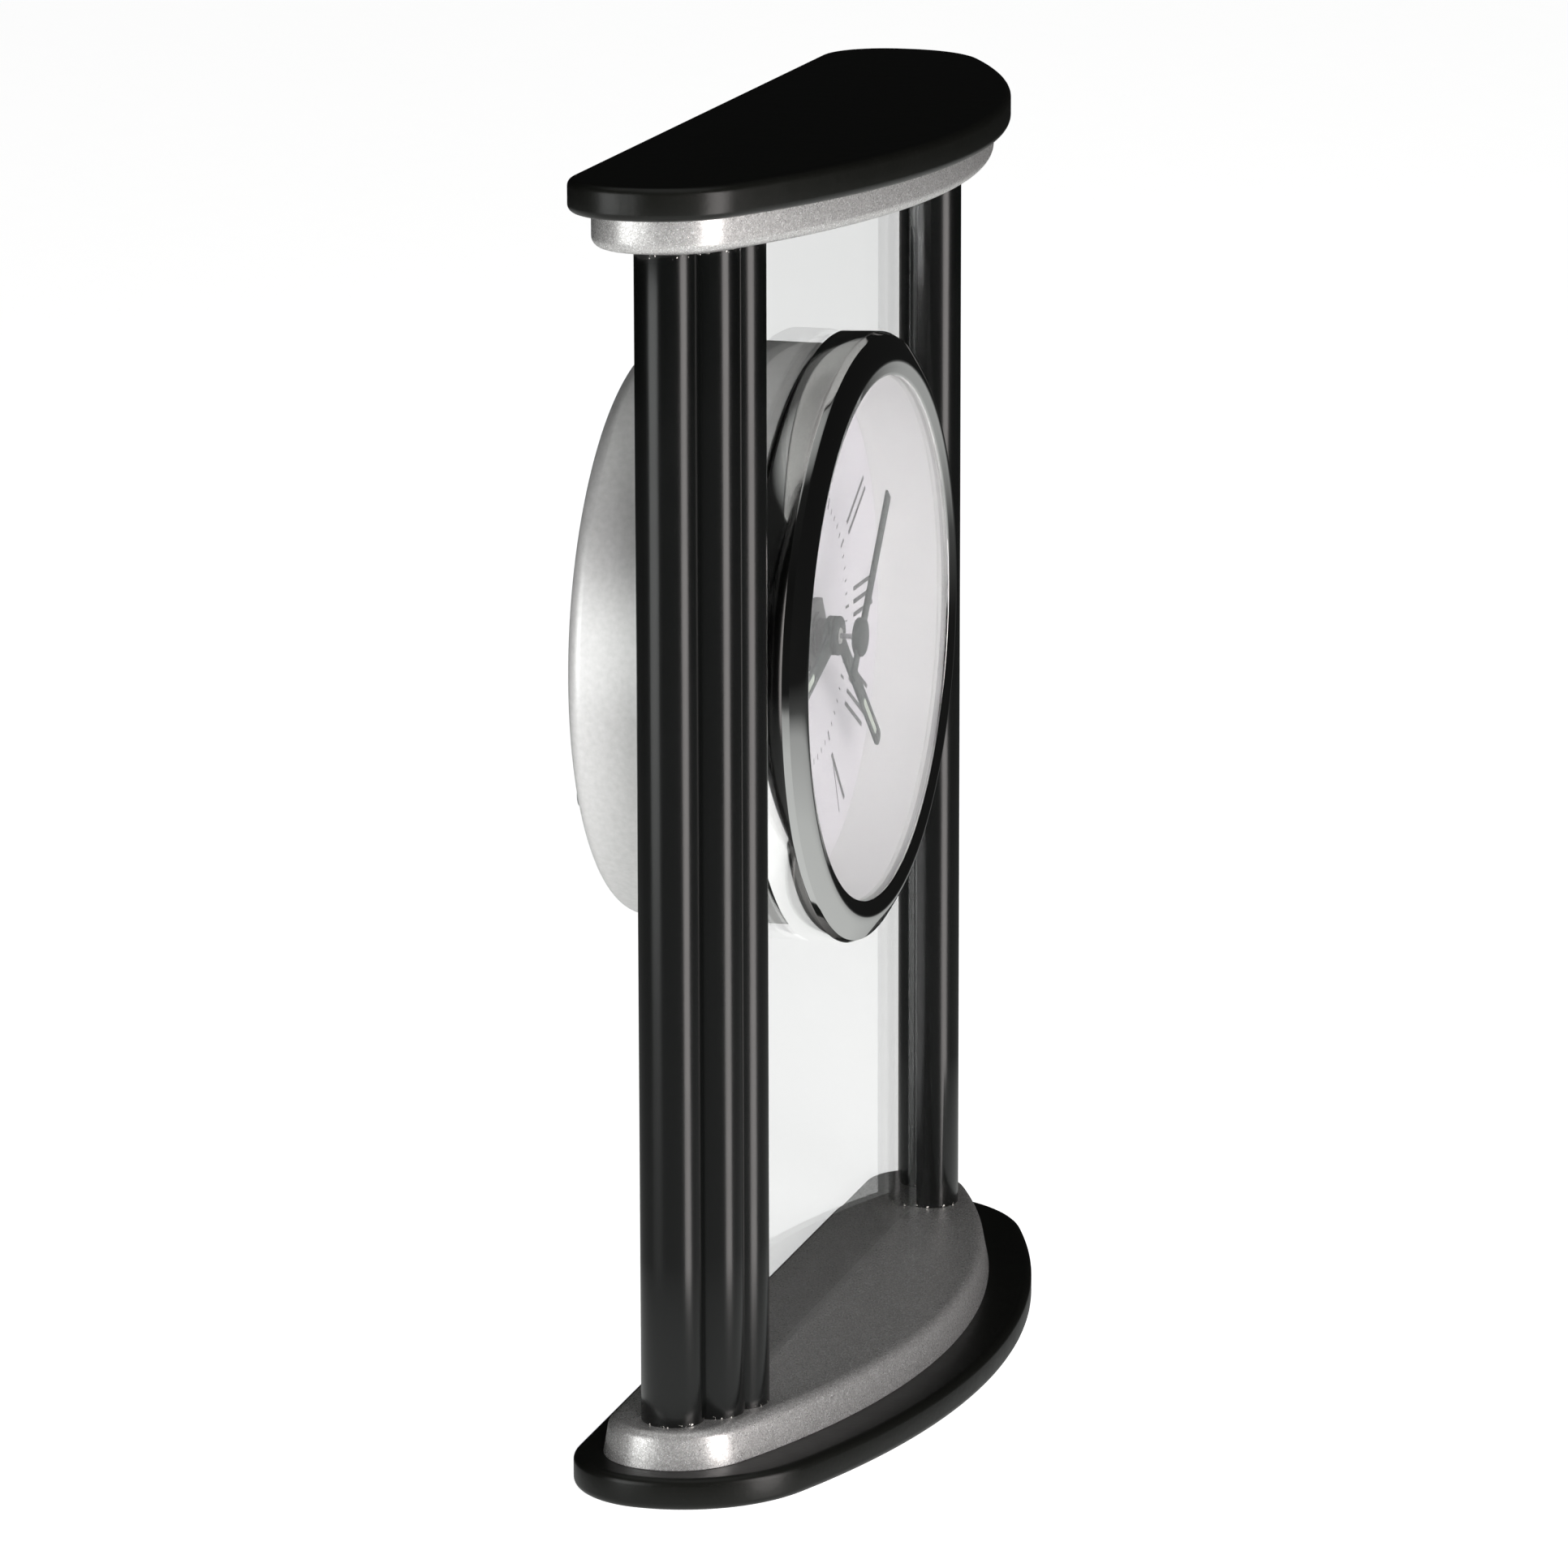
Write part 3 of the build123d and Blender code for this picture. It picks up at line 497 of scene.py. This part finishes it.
outer, middle, inner = reeds
outer_front, outer_back = crossings(outer, middle, reed_radius)
inner_front, inner_back = crossings(middle, inner, reed_radius)
slot_mouth = (inner[0] - math.sqrt(reed_radius ** 2 - (slot_front - inner[1]) ** 2), slot_front)
slot_top = (slot_end, inner[1] + math.sqrt(reed_radius ** 2 - (slot_end - inner[0]) ** 2))
column_outline = reed_arc(inner, slot_mouth, inner_front, 26)
column_outline += reed_arc(middle, inner_front, outer_front, 18)[1:]
column_outline += reed_arc(outer, outer_front, outer_back, 48)[1:]
column_outline += reed_arc(middle, outer_back, inner_back, 22)[1:]
column_outline += reed_arc(inner, inner_back, slot_top, 6)[1:]
column_outline += [(slot_end, slot_front)]
print("column outline", len(column_outline), "points")

# %% [markdown]
# The outline is carried up in a few levels. The first and last sit a hair inside the others,
# which breaks the sharp end of each reed the way lacquer does.

# %% Raise both columns
end_break = 0.25 * MM
for side, node in ((1, "right_column"), (-1, "left_column")):
    low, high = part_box(node)
    rings = []
    centre_x = sum(x for x, y in column_outline) / len(column_outline)
    centre_y = sum(y for x, y in column_outline) / len(column_outline)
    for z, shrink in (
        (low[2], 0.985), (low[2] + end_break, 1.0), (low[2] + 30 * MM, 1.0),
        (high[2] - 30 * MM, 1.0), (high[2] - end_break, 1.0), (high[2], 0.985),
    ):
        ring = []
        for x, y in column_outline:
            ring.append((side * (centre_x + (x - centre_x) * shrink), centre_y + (y - centre_y) * shrink, z))
        rings.append(ring if side > 0 else ring[::-1])
    verts, faces = skin(rings)
    make_piece(f"{node}_reeds", verts, faces, "clock", finish["column_gloss"], (node,), sharp=40.0)

# %% [markdown]
# ## The glass
#
# The sheet is 5 mm plate with a round hole drilled in it. A ring of quads between the hole
# and the rectangle makes the face, and small chamfers round every edge, because cut plate is
# always seamed with a stone, and those narrow faces are what sparkle.

# %% Make the glass sheet
def sheet_rings(hole_r, half_x, low_z, high_z, steps=192):
    """Matching rings round the hole and round the sheet's edge, in (x, z)."""
    hole, edge = [], []
    corners = [math.atan2(high_z - head_z, half_x), math.atan2(low_z - head_z, half_x)]
    corners += [math.pi - corners[0], -math.pi - corners[1]]
    angles = sorted([2 * math.pi * k / steps - math.pi for k in range(steps)] + corners)
    for angle in angles:
        c, s = math.cos(angle), math.sin(angle)
        hole.append((hole_r * c, head_z + hole_r * s))
        reach = min(
            half_x / abs(c) if abs(c) > 1e-9 else 1e9,
            ((high_z - head_z) / s if s > 0 else (low_z - head_z) / s) if abs(s) > 1e-9 else 1e9,
        )
        edge.append((reach * c, head_z + reach * s))
    return hole, edge


chamfer = 0.35 * MM
hole_r = 51.1 * MM
layers = []
for y, hole_grow, edge_shrink in (
    (glass_front, chamfer, chamfer), (glass_front + chamfer, 0.0, 0.0),
    (glass_back - chamfer, 0.0, 0.0), (glass_back, chamfer, chamfer),
):
    hole, edge = sheet_rings(
        hole_r + hole_grow, glass_high[0] - edge_shrink, glass_low[2] + edge_shrink, glass_high[2] - edge_shrink
    )
    layers.append(([(x, y, z) for x, z in hole], [(x, y, z) for x, z in edge]))
up_one_side = [layer[1] for layer in layers[:4]]
down_the_other = [layer[0] for layer in reversed(layers[:4])]
around = up_one_side + down_the_other
verts, faces = skin(around, loop=True)
make_piece("glass_sheet", verts, faces, "clock", finish["plate_glass"], ("glass_panel",), sharp=20.0)

# %% [markdown]
# ## The head
#
# The bezel is one turned ring. Its side wall is a plain cylinder that ends in a narrow bevel.
# From there a cone leans in to a soft crest, and a shallower cone drops back to the lens. The
# crest is drawn with short steps, so the reflections flow over it. A thin spigot behind it
# passes through the glass.

# %% Turn the bezel
def level(forward):
    """A Y position so many millimetres in front of the glass."""
    return glass_front - forward * MM


bezel_profile = [(50.8, -12.0), (50.8, 0.4), (55.7, 0.4), (55.9, 0.48), (56.0, 0.7), (56.0, 6.75)]
bezel_profile += [(55.97, 6.92), (55.88, 7.08), (55.52, 7.78), (55.4, 7.98)]
bezel_profile += [(54.6, 8.46), (53.7, 8.99), (52.8, 9.49), (52.1, 9.86), (51.6, 10.06), (51.2, 10.16)]
bezel_profile += [(50.8, 10.17), (50.4, 10.06), (49.6, 9.84), (48.6, 9.6), (48.25, 9.5), (48.12, 9.38), (48.1, 9.0)]
bezel_profile += [(51.6, 9.0), (51.6, 0.8), (49.6, 0.8), (49.6, -12.0)]
verts, faces = revolve([(r * MM, level(f)) for r, f in bezel_profile], 288)
make_piece("bezel_ring", verts, faces, "clock", finish["bright_plate"], ("bezel",), sharp=28.0)

# %% [markdown]
# The lens is a clear disc under the bezel's lip, with a softened rim. Behind it a white ring
# slopes down to the dial. It is the broad pale band that shows through the lens from the side,
# so its inner face is slightly curved, and ends in a small ledge just behind the lens.

# %% Make the lens and the white ring
lens_r = lens_high[0]
lens_front, lens_back = lens_low[1], lens_high[1]
soft = 0.25 * MM
lens_profile = [
    (lens_r - soft, lens_front), (lens_r, lens_front + soft),
    (lens_r, lens_back - soft), (lens_r - soft, lens_back),
]
rings = []
for radius, y in lens_profile:
    rings.append([
        (radius * math.sin(2 * math.pi * k / 256), y, head_z + radius * math.cos(2 * math.pi * k / 256))
        for k in range(256)
    ])
verts, faces = skin(rings)
make_piece("lens_disc", verts, faces, "clock", finish["clear_lens"], ("lens",), sharp=30.0)

ring_front = lens_back
ledge = ring_front + 1.6 * MM
ring_profile = []
for k in range(13):
    t = k / 12
    radius = 47.0 + (48.1 - 47.0) * t + 0.12 * math.sin(math.pi * t)
    ring_profile.append((radius * MM, dial_front - 0.02 * MM + (ledge - dial_front) * t))
ring_profile += [(48.75 * MM, ledge - 0.1 * MM), (48.9 * MM, ledge - 0.25 * MM), (49.0 * MM, ring_front)]
ring_profile += [(50.8 * MM, ring_front), (50.9 * MM, ring_front + 0.4 * MM)]
ring_profile += [
    (48.0 * MM, dial_front - 0.6 * MM),
    (49.2 * MM, dial_front - 0.55 * MM),
    (49.2 * MM, dial_front - 0.02 * MM),
]
verts, faces = revolve(ring_profile, 256)
make_piece("white_ring", verts, faces, "clock", finish["white_ring"], ("reflector_ring",), sharp=30.0)

# %% [markdown]
# The dial is a printed card. Its Roman numerals stand round the edge with their feet to the
# centre: slim parallel bars for I, and a thick and a thin stroke for V and X, in the old way
# with IIII for four. The ink is a separate, paper-thin piece made of small raised shapes, so
# it stays sharp at any distance.

# %% Print the dial
card_r = dial_high[0]
card_profile = [(4.3 * MM, dial_front), (card_r - 0.1 * MM, dial_front), (card_r, dial_front + 0.1 * MM)]
card_profile += [(card_r, dial_high[1]), (4.3 * MM, dial_high[1])]
verts, faces = revolve(card_profile, 192)
make_piece("dial_card", verts, faces, "clock", finish["dial_card"], ("dial",), sharp=30.0)

ink_verts, ink_faces = [], []
ink_face_y = dial_front - 0.03 * MM
ink_root_y = dial_front + 0.01 * MM


def stroke(points, clockwise):
    """A thin raised shape on the dial: (across, outward) points in millimetres, turned to an angle."""
    turn = math.radians(clockwise)
    base = len(ink_verts)
    for y in (ink_face_y, ink_root_y):
        for across, outward in points:
            x = (across * math.cos(turn) + outward * math.sin(turn)) * MM
            z = (outward * math.cos(turn) - across * math.sin(turn)) * MM
            ink_verts.append((x, y, head_z + z))
    count = len(points)
    ink_faces.append(tuple(base + k for k in range(count)))
    ink_faces.append(tuple(base + count + k for k in reversed(range(count))))
    for k in range(count):
        after = (k + 1) % count
        ink_faces.append((base + k, base + count + k, base + count + after, base + after))


def slanted(foot, head, width, low=29.6, high=42.8):
    """A straight stroke of a numeral from its foot to its head."""
    return [(foot - width / 2, low), (head - width / 2, high), (head + width / 2, high), (foot + width / 2, low)]


glyph_widths = {"I": 2.5, "V": 5.2, "X": 5.2}
glyph_strokes = {
    "I": [(0.0, 0.0, 0.85)],
    "V": [(0.25, -1.9, 0.95), (0.05, 1.9, 0.32)],
    "X": [(1.8, -1.8, 0.95), (-1.8, 1.8, 0.32)],
}
numerals = ("XII", "I", "II", "III", "IIII", "V", "VI", "VII", "VIII", "IX", "X", "XI")
for hour, numeral in enumerate(numerals):
    cursor = -sum(glyph_widths[g] for g in numeral) / 2
    for glyph in numeral:
        centre = cursor + glyph_widths[glyph] / 2
        for foot, head, width in glyph_strokes[glyph]:
            stroke(slanted(centre + foot, centre + head, width), 30 * hour)
        cursor += glyph_widths[glyph]
for minute in range(60):
    long, wide = (2.2, 0.55) if minute % 5 == 0 else (1.1, 0.32)
    stroke([(-wide / 2, 24.2), (-wide / 2, 24.2 + long), (wide / 2, 24.2 + long), (wide / 2, 24.2)], 6 * minute)
make_piece("dial_ink", ink_verts, ink_faces, "clock", finish["dial_ink"], sharp=20.0)
print("ink shapes:", len(ink_faces))

# %% [markdown]
# ## The hands
#
# Four hands share the centre. The alarm hand is a thin wedge nearest the dial, then the hour
# and minute hands, each with a slit filled with luminous paint, and in front the broad seconds
# hand on its needle-thin arbor. Each is a stamped outline with slightly rounded edges and a
# turned collar. The outline is drawn flat and pointing at twelve, then turned to its angle.

# %% Helpers for hands
def stamped(outline, holes, y_front, y_back, clockwise, soften=0.08 * MM):
    """A flat stamping with softened edges, from (across, outward) points in metres."""
    work = bmesh.new()
    turn = math.radians(clockwise)

    def place(across, outward, y):
        x = across * math.cos(turn) + outward * math.sin(turn)
        z = outward * math.cos(turn) - across * math.sin(turn)
        return (x, y, head_z + z)

    edges = []
    for loop_points in [outline] + holes:
        loop_verts = [work.verts.new(place(a, o, y_back)) for a, o in loop_points]
        for k, vert in enumerate(loop_verts):
            edges.append(work.edges.new((vert, loop_verts[(k + 1) % len(loop_verts)])))
    filled = bmesh.ops.triangle_fill(work, edges=edges, use_beauty=True, use_dissolve=False)
    flat = [item for item in filled["geom"] if isinstance(item, bmesh.types.BMFace)]
    grown = bmesh.ops.extrude_face_region(work, geom=flat)
    moved = [item for item in grown["geom"] if isinstance(item, bmesh.types.BMVert)]
    bmesh.ops.translate(work, verts=moved, vec=(0.0, y_front - y_back, 0.0))
    bmesh.ops.recalc_face_normals(work, faces=work.faces)
    bmesh.ops.dissolve_limit(work, angle_limit=math.radians(1.0), verts=work.verts, edges=work.edges)
    rims = [e for e in work.edges if len(e.link_faces) == 2 and e.calc_face_angle(0.0) > math.radians(60)]
    bmesh.ops.bevel(work, geom=rims, offset=soften, segments=2, profile=0.6, affect="EDGES", clamp_overlap=True)
    return work


def bm_piece(work, name, body, material, stands_for=(), sharp=35.0):
    """Turn a bmesh into a piece."""
    verts = [tuple(v.co) for v in work.verts]
    work.verts.index_update()
    faces = [tuple(v.index for v in face.verts) for face in work.faces]
    work.free()
    return make_piece(name, verts, faces, body, material, stands_for, sharp)


def pill(width, start, end, steps=10):
    """A slot-shaped outline with round ends, along the hand."""
    radius = width / 2
    points = arc((0.0, end - radius), radius, 0.0, 180.0, steps)
    points += arc((0.0, start + radius), radius, 180.0, 360.0, steps)
    return points


def baton(width, start, tip, round_tip, steps=10):
    """A parallel hand outline from its root to its tip."""
    half = width / 2
    if round_tip:
        return [(-half, start), (half, start)] + arc((0.0, tip - half), half, 0.0, 180.0, steps)
    return [(-half, start), (half, start), (half, tip), (-half, tip)]


def collar(name, body, radius, bore, front, back, stands_for=()):
    """A turned collar with rounded rims."""
    lip = 0.18 * MM
    profile = [(bore, front + lip), (bore + lip, front), (radius - lip, front), (radius, front + lip)]
    profile += [(radius, back - lip), (radius - lip, back), (bore + lip, back), (bore, back - lip)]
    verts, faces = revolve(profile, 72)
    return make_piece(name, verts, faces, body, finish["hand_paint"], stands_for, sharp=40.0)


# %% [markdown]
# The angles read eight twenty-two: the minute hand points between four and five, the hour
# hand a third of the way from eight to nine. They match the model's gears, so the hands stay
# in step when the setting knob turns.

# %% Make the four hands
second_angle, minute_angle = 39.3, 133.3
hour_angle = 240.0 + minute_angle / 12.0
alarm_angle = 242.0
collar_r = 3.65 * MM

alarm_low, alarm_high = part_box("alarm_hand")
hour_low, hour_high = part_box("hour_hand")
minute_low, minute_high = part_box("minute_hand")
second_low, second_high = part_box("second_hand")

wedge = [(-2.7 * MM, 1.0 * MM), (2.7 * MM, 1.0 * MM), (0.4 * MM, 23.0 * MM), (-0.4 * MM, 23.0 * MM)]
work = stamped(wedge, [], alarm_high[1] - 0.55 * MM, alarm_high[1] - 0.15 * MM, alarm_angle)
bm_piece(work, "alarm_pointer", "alarm", finish["hand_paint"])
collar("alarm_collar", "alarm", collar_r, 3.05 * MM, alarm_low[1], alarm_high[1], ("alarm_hand",))

hour_blade = baton(3.8 * MM, 1.0 * MM, 26.5 * MM, True)
hour_window = [pill(1.7 * MM, 14.5 * MM, 22.5 * MM)]
work = stamped(hour_blade, hour_window, hour_high[1] - 0.6 * MM, hour_high[1] - 0.15 * MM, hour_angle)
bm_piece(work, "hour_pointer", "hour", finish["hand_paint"])
collar("hour_collar", "hour", collar_r, 2.30 * MM, hour_low[1], hour_high[1], ("hour_hand",))

minute_blade = baton(3.3 * MM, 1.0 * MM, 37.5 * MM, True)
work = stamped(
    minute_blade, [pill(1.5 * MM, 22.6 * MM, 34.4 * MM)],
    minute_high[1] - 0.6 * MM, minute_high[1] - 0.15 * MM, minute_angle,
)
bm_piece(work, "minute_pointer", "minute", finish["hand_paint"])
collar("minute_collar", "minute", collar_r, 1.50 * MM, minute_low[1], minute_high[1], ("minute_hand",))

second_blade = baton(2.8 * MM, -8.5 * MM, 29.9 * MM, False)
work = stamped(second_blade, [], second_high[1] - 1.0 * MM, second_high[1] - 0.55 * MM, second_angle)
bm_piece(work, "second_pointer", "second", finish["hand_paint"])

# %% [markdown]
# The seconds hand ends in a button-like cap that covers the arbor. It is a small lathe job:
# a flat face, a rounded shoulder and a slight groove at its waist.

# %% Make the seconds cap and the luminous strips
cap_r = 3.6 * MM
cap_front, cap_back = second_low[1], second_high[1]
cap_profile = [(0.02 * MM, cap_front)]
cap_profile += [(cap_r - 0.45 * MM + 0.45 * MM * math.sin(a), cap_front + 0.45 * MM * (1 - math.cos(a)))
                for a in (math.pi / 2 * k / 6 for k in range(7))]
cap_profile += [(cap_r, cap_back - 0.3 * MM), (cap_r - 0.25 * MM, cap_back), (0.02 * MM, cap_back)]
verts, faces = revolve(cap_profile, 72)
make_piece("second_cap", verts, faces, "second", finish["hand_paint"], ("second_hand",), sharp=40.0)

for name, body, width, start, end, angle, back, node in (
    ("hour_lume_strip", "hour", 1.62, 14.55, 22.45, hour_angle, hour_high[1], "hour_lume"),
    ("minute_lume_strip", "minute", 1.42, 22.65, 34.35, minute_angle, minute_high[1], "minute_lume"),
):
    work = stamped(pill(width * MM, start * MM, end * MM), [], back - 0.5 * MM, back - 0.2 * MM, angle, 0.05 * MM)
    bm_piece(work, name, body, finish["lume_paint"], (node,))

# %% [markdown]
# ## Everything that keeps its CAD shape
#
# The can, knobs, screws, battery and movement already have the right form. They keep their
# meshes and get a finish.

# %% Finish the remaining nodes
kept = {
    "can_silver": ["rear_can"],
    "grey_moulding": ["battery_door"],
    "screw_steel": ["base_screws", "can_screws", "door_pin", "second_arbor", "stator", "rotor", "quartz_crystal",
                    "battery_contact", "battery_spring"],
    "copper_wire": ["coil"],
    "black_rubber": ["bezel_gasket", "can_gasket"],
    "black_moulding": ["dial_nut", "alarm_wheel", "retaining_ring", "movement_plate", "movement_case",
                       "switch_housing", "buzzer", "time_knob",
                       "alarm_knob", "alarm_switch"],
    "white_acetal": ["cannon_pinion", "hour_wheel", "minute_wheel", "time_pinion"],
    "yellow_acetal": ["alarm_pinion"],
    "green_board": ["circuit_board"],
    "felt": ["felt_pad"],
    "beech": ["top_dowels"],
    "clear_strip": ["glass_cushion"],
    "battery_sleeve": ["battery"],
}
for look, names in kept.items():
    for name in names:
        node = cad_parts[name]
        for material_slot in node.material_slots:
            material_slot.material = finish[look]
print("kept nodes:", sum(len(names) for names in kept.values()))

# %% [markdown]
# ## Light, floor and camera
#
# A tall, narrow soft light stands in front. It draws the bright upright line on every reed. A
# dimmer, wider one behind on the left fills the can. The third lights the dial and the silver
# from the left, and is hidden from shiny surfaces, so the lacquer stays black.

# %% Set the lights
def area_light(name, azimuth, elevation, distance, width, height, watts, colour, aim=(0.0, 0.0, 0.12), glossy=True):
    """A rectangular light on a sphere round the clock; azimuth 0 is in front of it."""
    data = bpy.data.lights.new(name, "AREA")
    data.shape = "RECTANGLE"
    data.size = width
    data.size_y = height
    data.energy = watts
    data.color = colour
    light = bpy.data.objects.new(name, data)
    bpy.context.scene.collection.objects.link(light)
    a, e = math.radians(azimuth), math.radians(elevation)
    away = Vector((math.sin(a) * math.cos(e), -math.cos(a) * math.cos(e), math.sin(e)))
    light.location = Vector(aim) + distance * away
    light.rotation_euler = away.to_track_quat("Z", "Y").to_euler()
    light.visible_glossy = glossy
    return light


area_light("key_panel", -14.0, 4.0, 1.30, 0.56, 1.30, 9.6, (1.0, 0.955, 0.94))
area_light("side_panel", -122.0, 4.0, 1.40, 0.80, 0.90, 5.0, (0.98, 1.0, 0.99))
area_light("left_fill", -60.0, 3.0, 1.60, 0.70, 0.60, 62.0, (1.0, 0.985, 0.99), glossy=False)

# %% [markdown]
# The world is white where it is looked at directly or through the glass. Shiny surfaces see
# something else, a dark room: light grey straight down and overhead, black at eye level. It
# is what makes chrome read as chrome, with crisp borders between light and dark.

# %% Set the world and the floor
world = bpy.data.worlds.new("studio")
bpy.context.scene.world = world
world.use_nodes = True
tree = world.node_tree
tree.nodes.clear()
path = tree.nodes.new("ShaderNodeLightPath")
direct = tree.nodes.new("ShaderNodeMath")
direct.operation = "SUBTRACT"
direct.use_clamp = True
tree.links.new(path.outputs["Is Transmission Ray"], direct.inputs[0])
tree.links.new(path.outputs["Glossy Depth"], direct.inputs[1])
seen = tree.nodes.new("ShaderNodeMath")
seen.operation = "MAXIMUM"
tree.links.new(path.outputs["Is Camera Ray"], seen.inputs[0])
tree.links.new(direct.outputs[0], seen.inputs[1])
direction = tree.nodes.new("ShaderNodeSeparateXYZ")
tree.links.new(tree.nodes.new("ShaderNodeTexCoord").outputs["Generated"], direction.inputs["Vector"])
height = spread(tree, direction.outputs["Z"], 0.0, 1.0, -1.0, 1.0)
room_levels = (
    (0.0, 0.60), (0.25, 0.50), (0.345, 0.34), (0.375, 0.06), (0.41, 0.010),
    (0.70, 0.006), (0.90, 0.012), (0.94, 0.30), (1.0, 0.34),
)
room = tree.nodes.new("ShaderNodeBackground")
tree.links.new(colours(tree, height, [(h, (v, v * 1.02, v)) for h, v in room_levels]), room.inputs["Color"])
white = tree.nodes.new("ShaderNodeBackground")
white.inputs["Color"].default_value = (1.0, 1.0, 1.0, 1.0)
mix = tree.nodes.new("ShaderNodeMixShader")
tree.links.new(seen.outputs[0], mix.inputs["Fac"])
tree.links.new(room.outputs["Background"], mix.inputs[1])
tree.links.new(white.outputs["Background"], mix.inputs[2])
output = tree.nodes.new("ShaderNodeOutputWorld")
tree.links.new(mix.outputs["Shader"], output.inputs["Surface"])

floor_rings = [[(r * math.cos(2 * math.pi * k / 96), r * math.sin(2 * math.pi * k / 96), 0.0) for k in range(96)]
               for r in (0.02, 3.0)]
floor_verts, floor_faces = skin(floor_rings, close_start=True, close_end=False)
floor_mesh = bpy.data.meshes.new("floor")
floor_mesh.from_pydata(floor_verts, [], floor_faces)
floor = bpy.data.objects.new("floor", floor_mesh)
bpy.context.scene.collection.objects.link(floor)
pale = moulded("pale_floor", (0.86, 0.86, 0.86), (0.90, 0.90, 0.90), 0.7, 300.0, 0.02, 0.2)
set_values(pale.node_tree.nodes["Principled BSDF"], Emission_Color=(1.0, 1.0, 1.0, 1.0), Emission_Strength=0.86)
floor_mesh.materials.append(pale)
floor.visible_glossy = False
bpy.context.scene.view_settings.view_transform = "Standard"

# %% [markdown]
# The camera stands well back with a long lens, far round to the clock's left and a little
# above it, so the front is seen at a slant and the can shows past the near column.

# %% Place the camera
view_azimuth, view_elevation, view_roll = -73.82, 13.27, -0.13
view_distance = 1.4026
view_target = Vector((-0.00304, 0.00618, 0.11151))
lens_length = 175.24
a, e = math.radians(view_azimuth), math.radians(view_elevation)
back = Vector((math.sin(a) * math.cos(e), -math.cos(a) * math.cos(e), math.sin(e)))
right = (-back).cross(Vector((0.0, 0.0, 1.0))).normalized()
up = right.cross(-back)
roll = math.radians(view_roll)
tilted_right = right * math.cos(roll) + up * math.sin(roll)
tilted_up = up * math.cos(roll) - right * math.sin(roll)
camera_data = bpy.data.cameras.new("camera")
camera_data.lens = lens_length
camera_data.sensor_width = 36.0
camera_data.clip_start = 0.01
camera = bpy.data.objects.new("camera", camera_data)
bpy.context.scene.collection.objects.link(camera)
axes = Matrix((tilted_right, tilted_up, back)).transposed().to_4x4()
camera.matrix_world = Matrix.Translation(view_target + back * view_distance) @ axes
bpy.context.scene.camera = camera

# %% [markdown]
# The last step prints how many pieces were made.

# %% Count the pieces
print("pieces made:", len(PIECES))
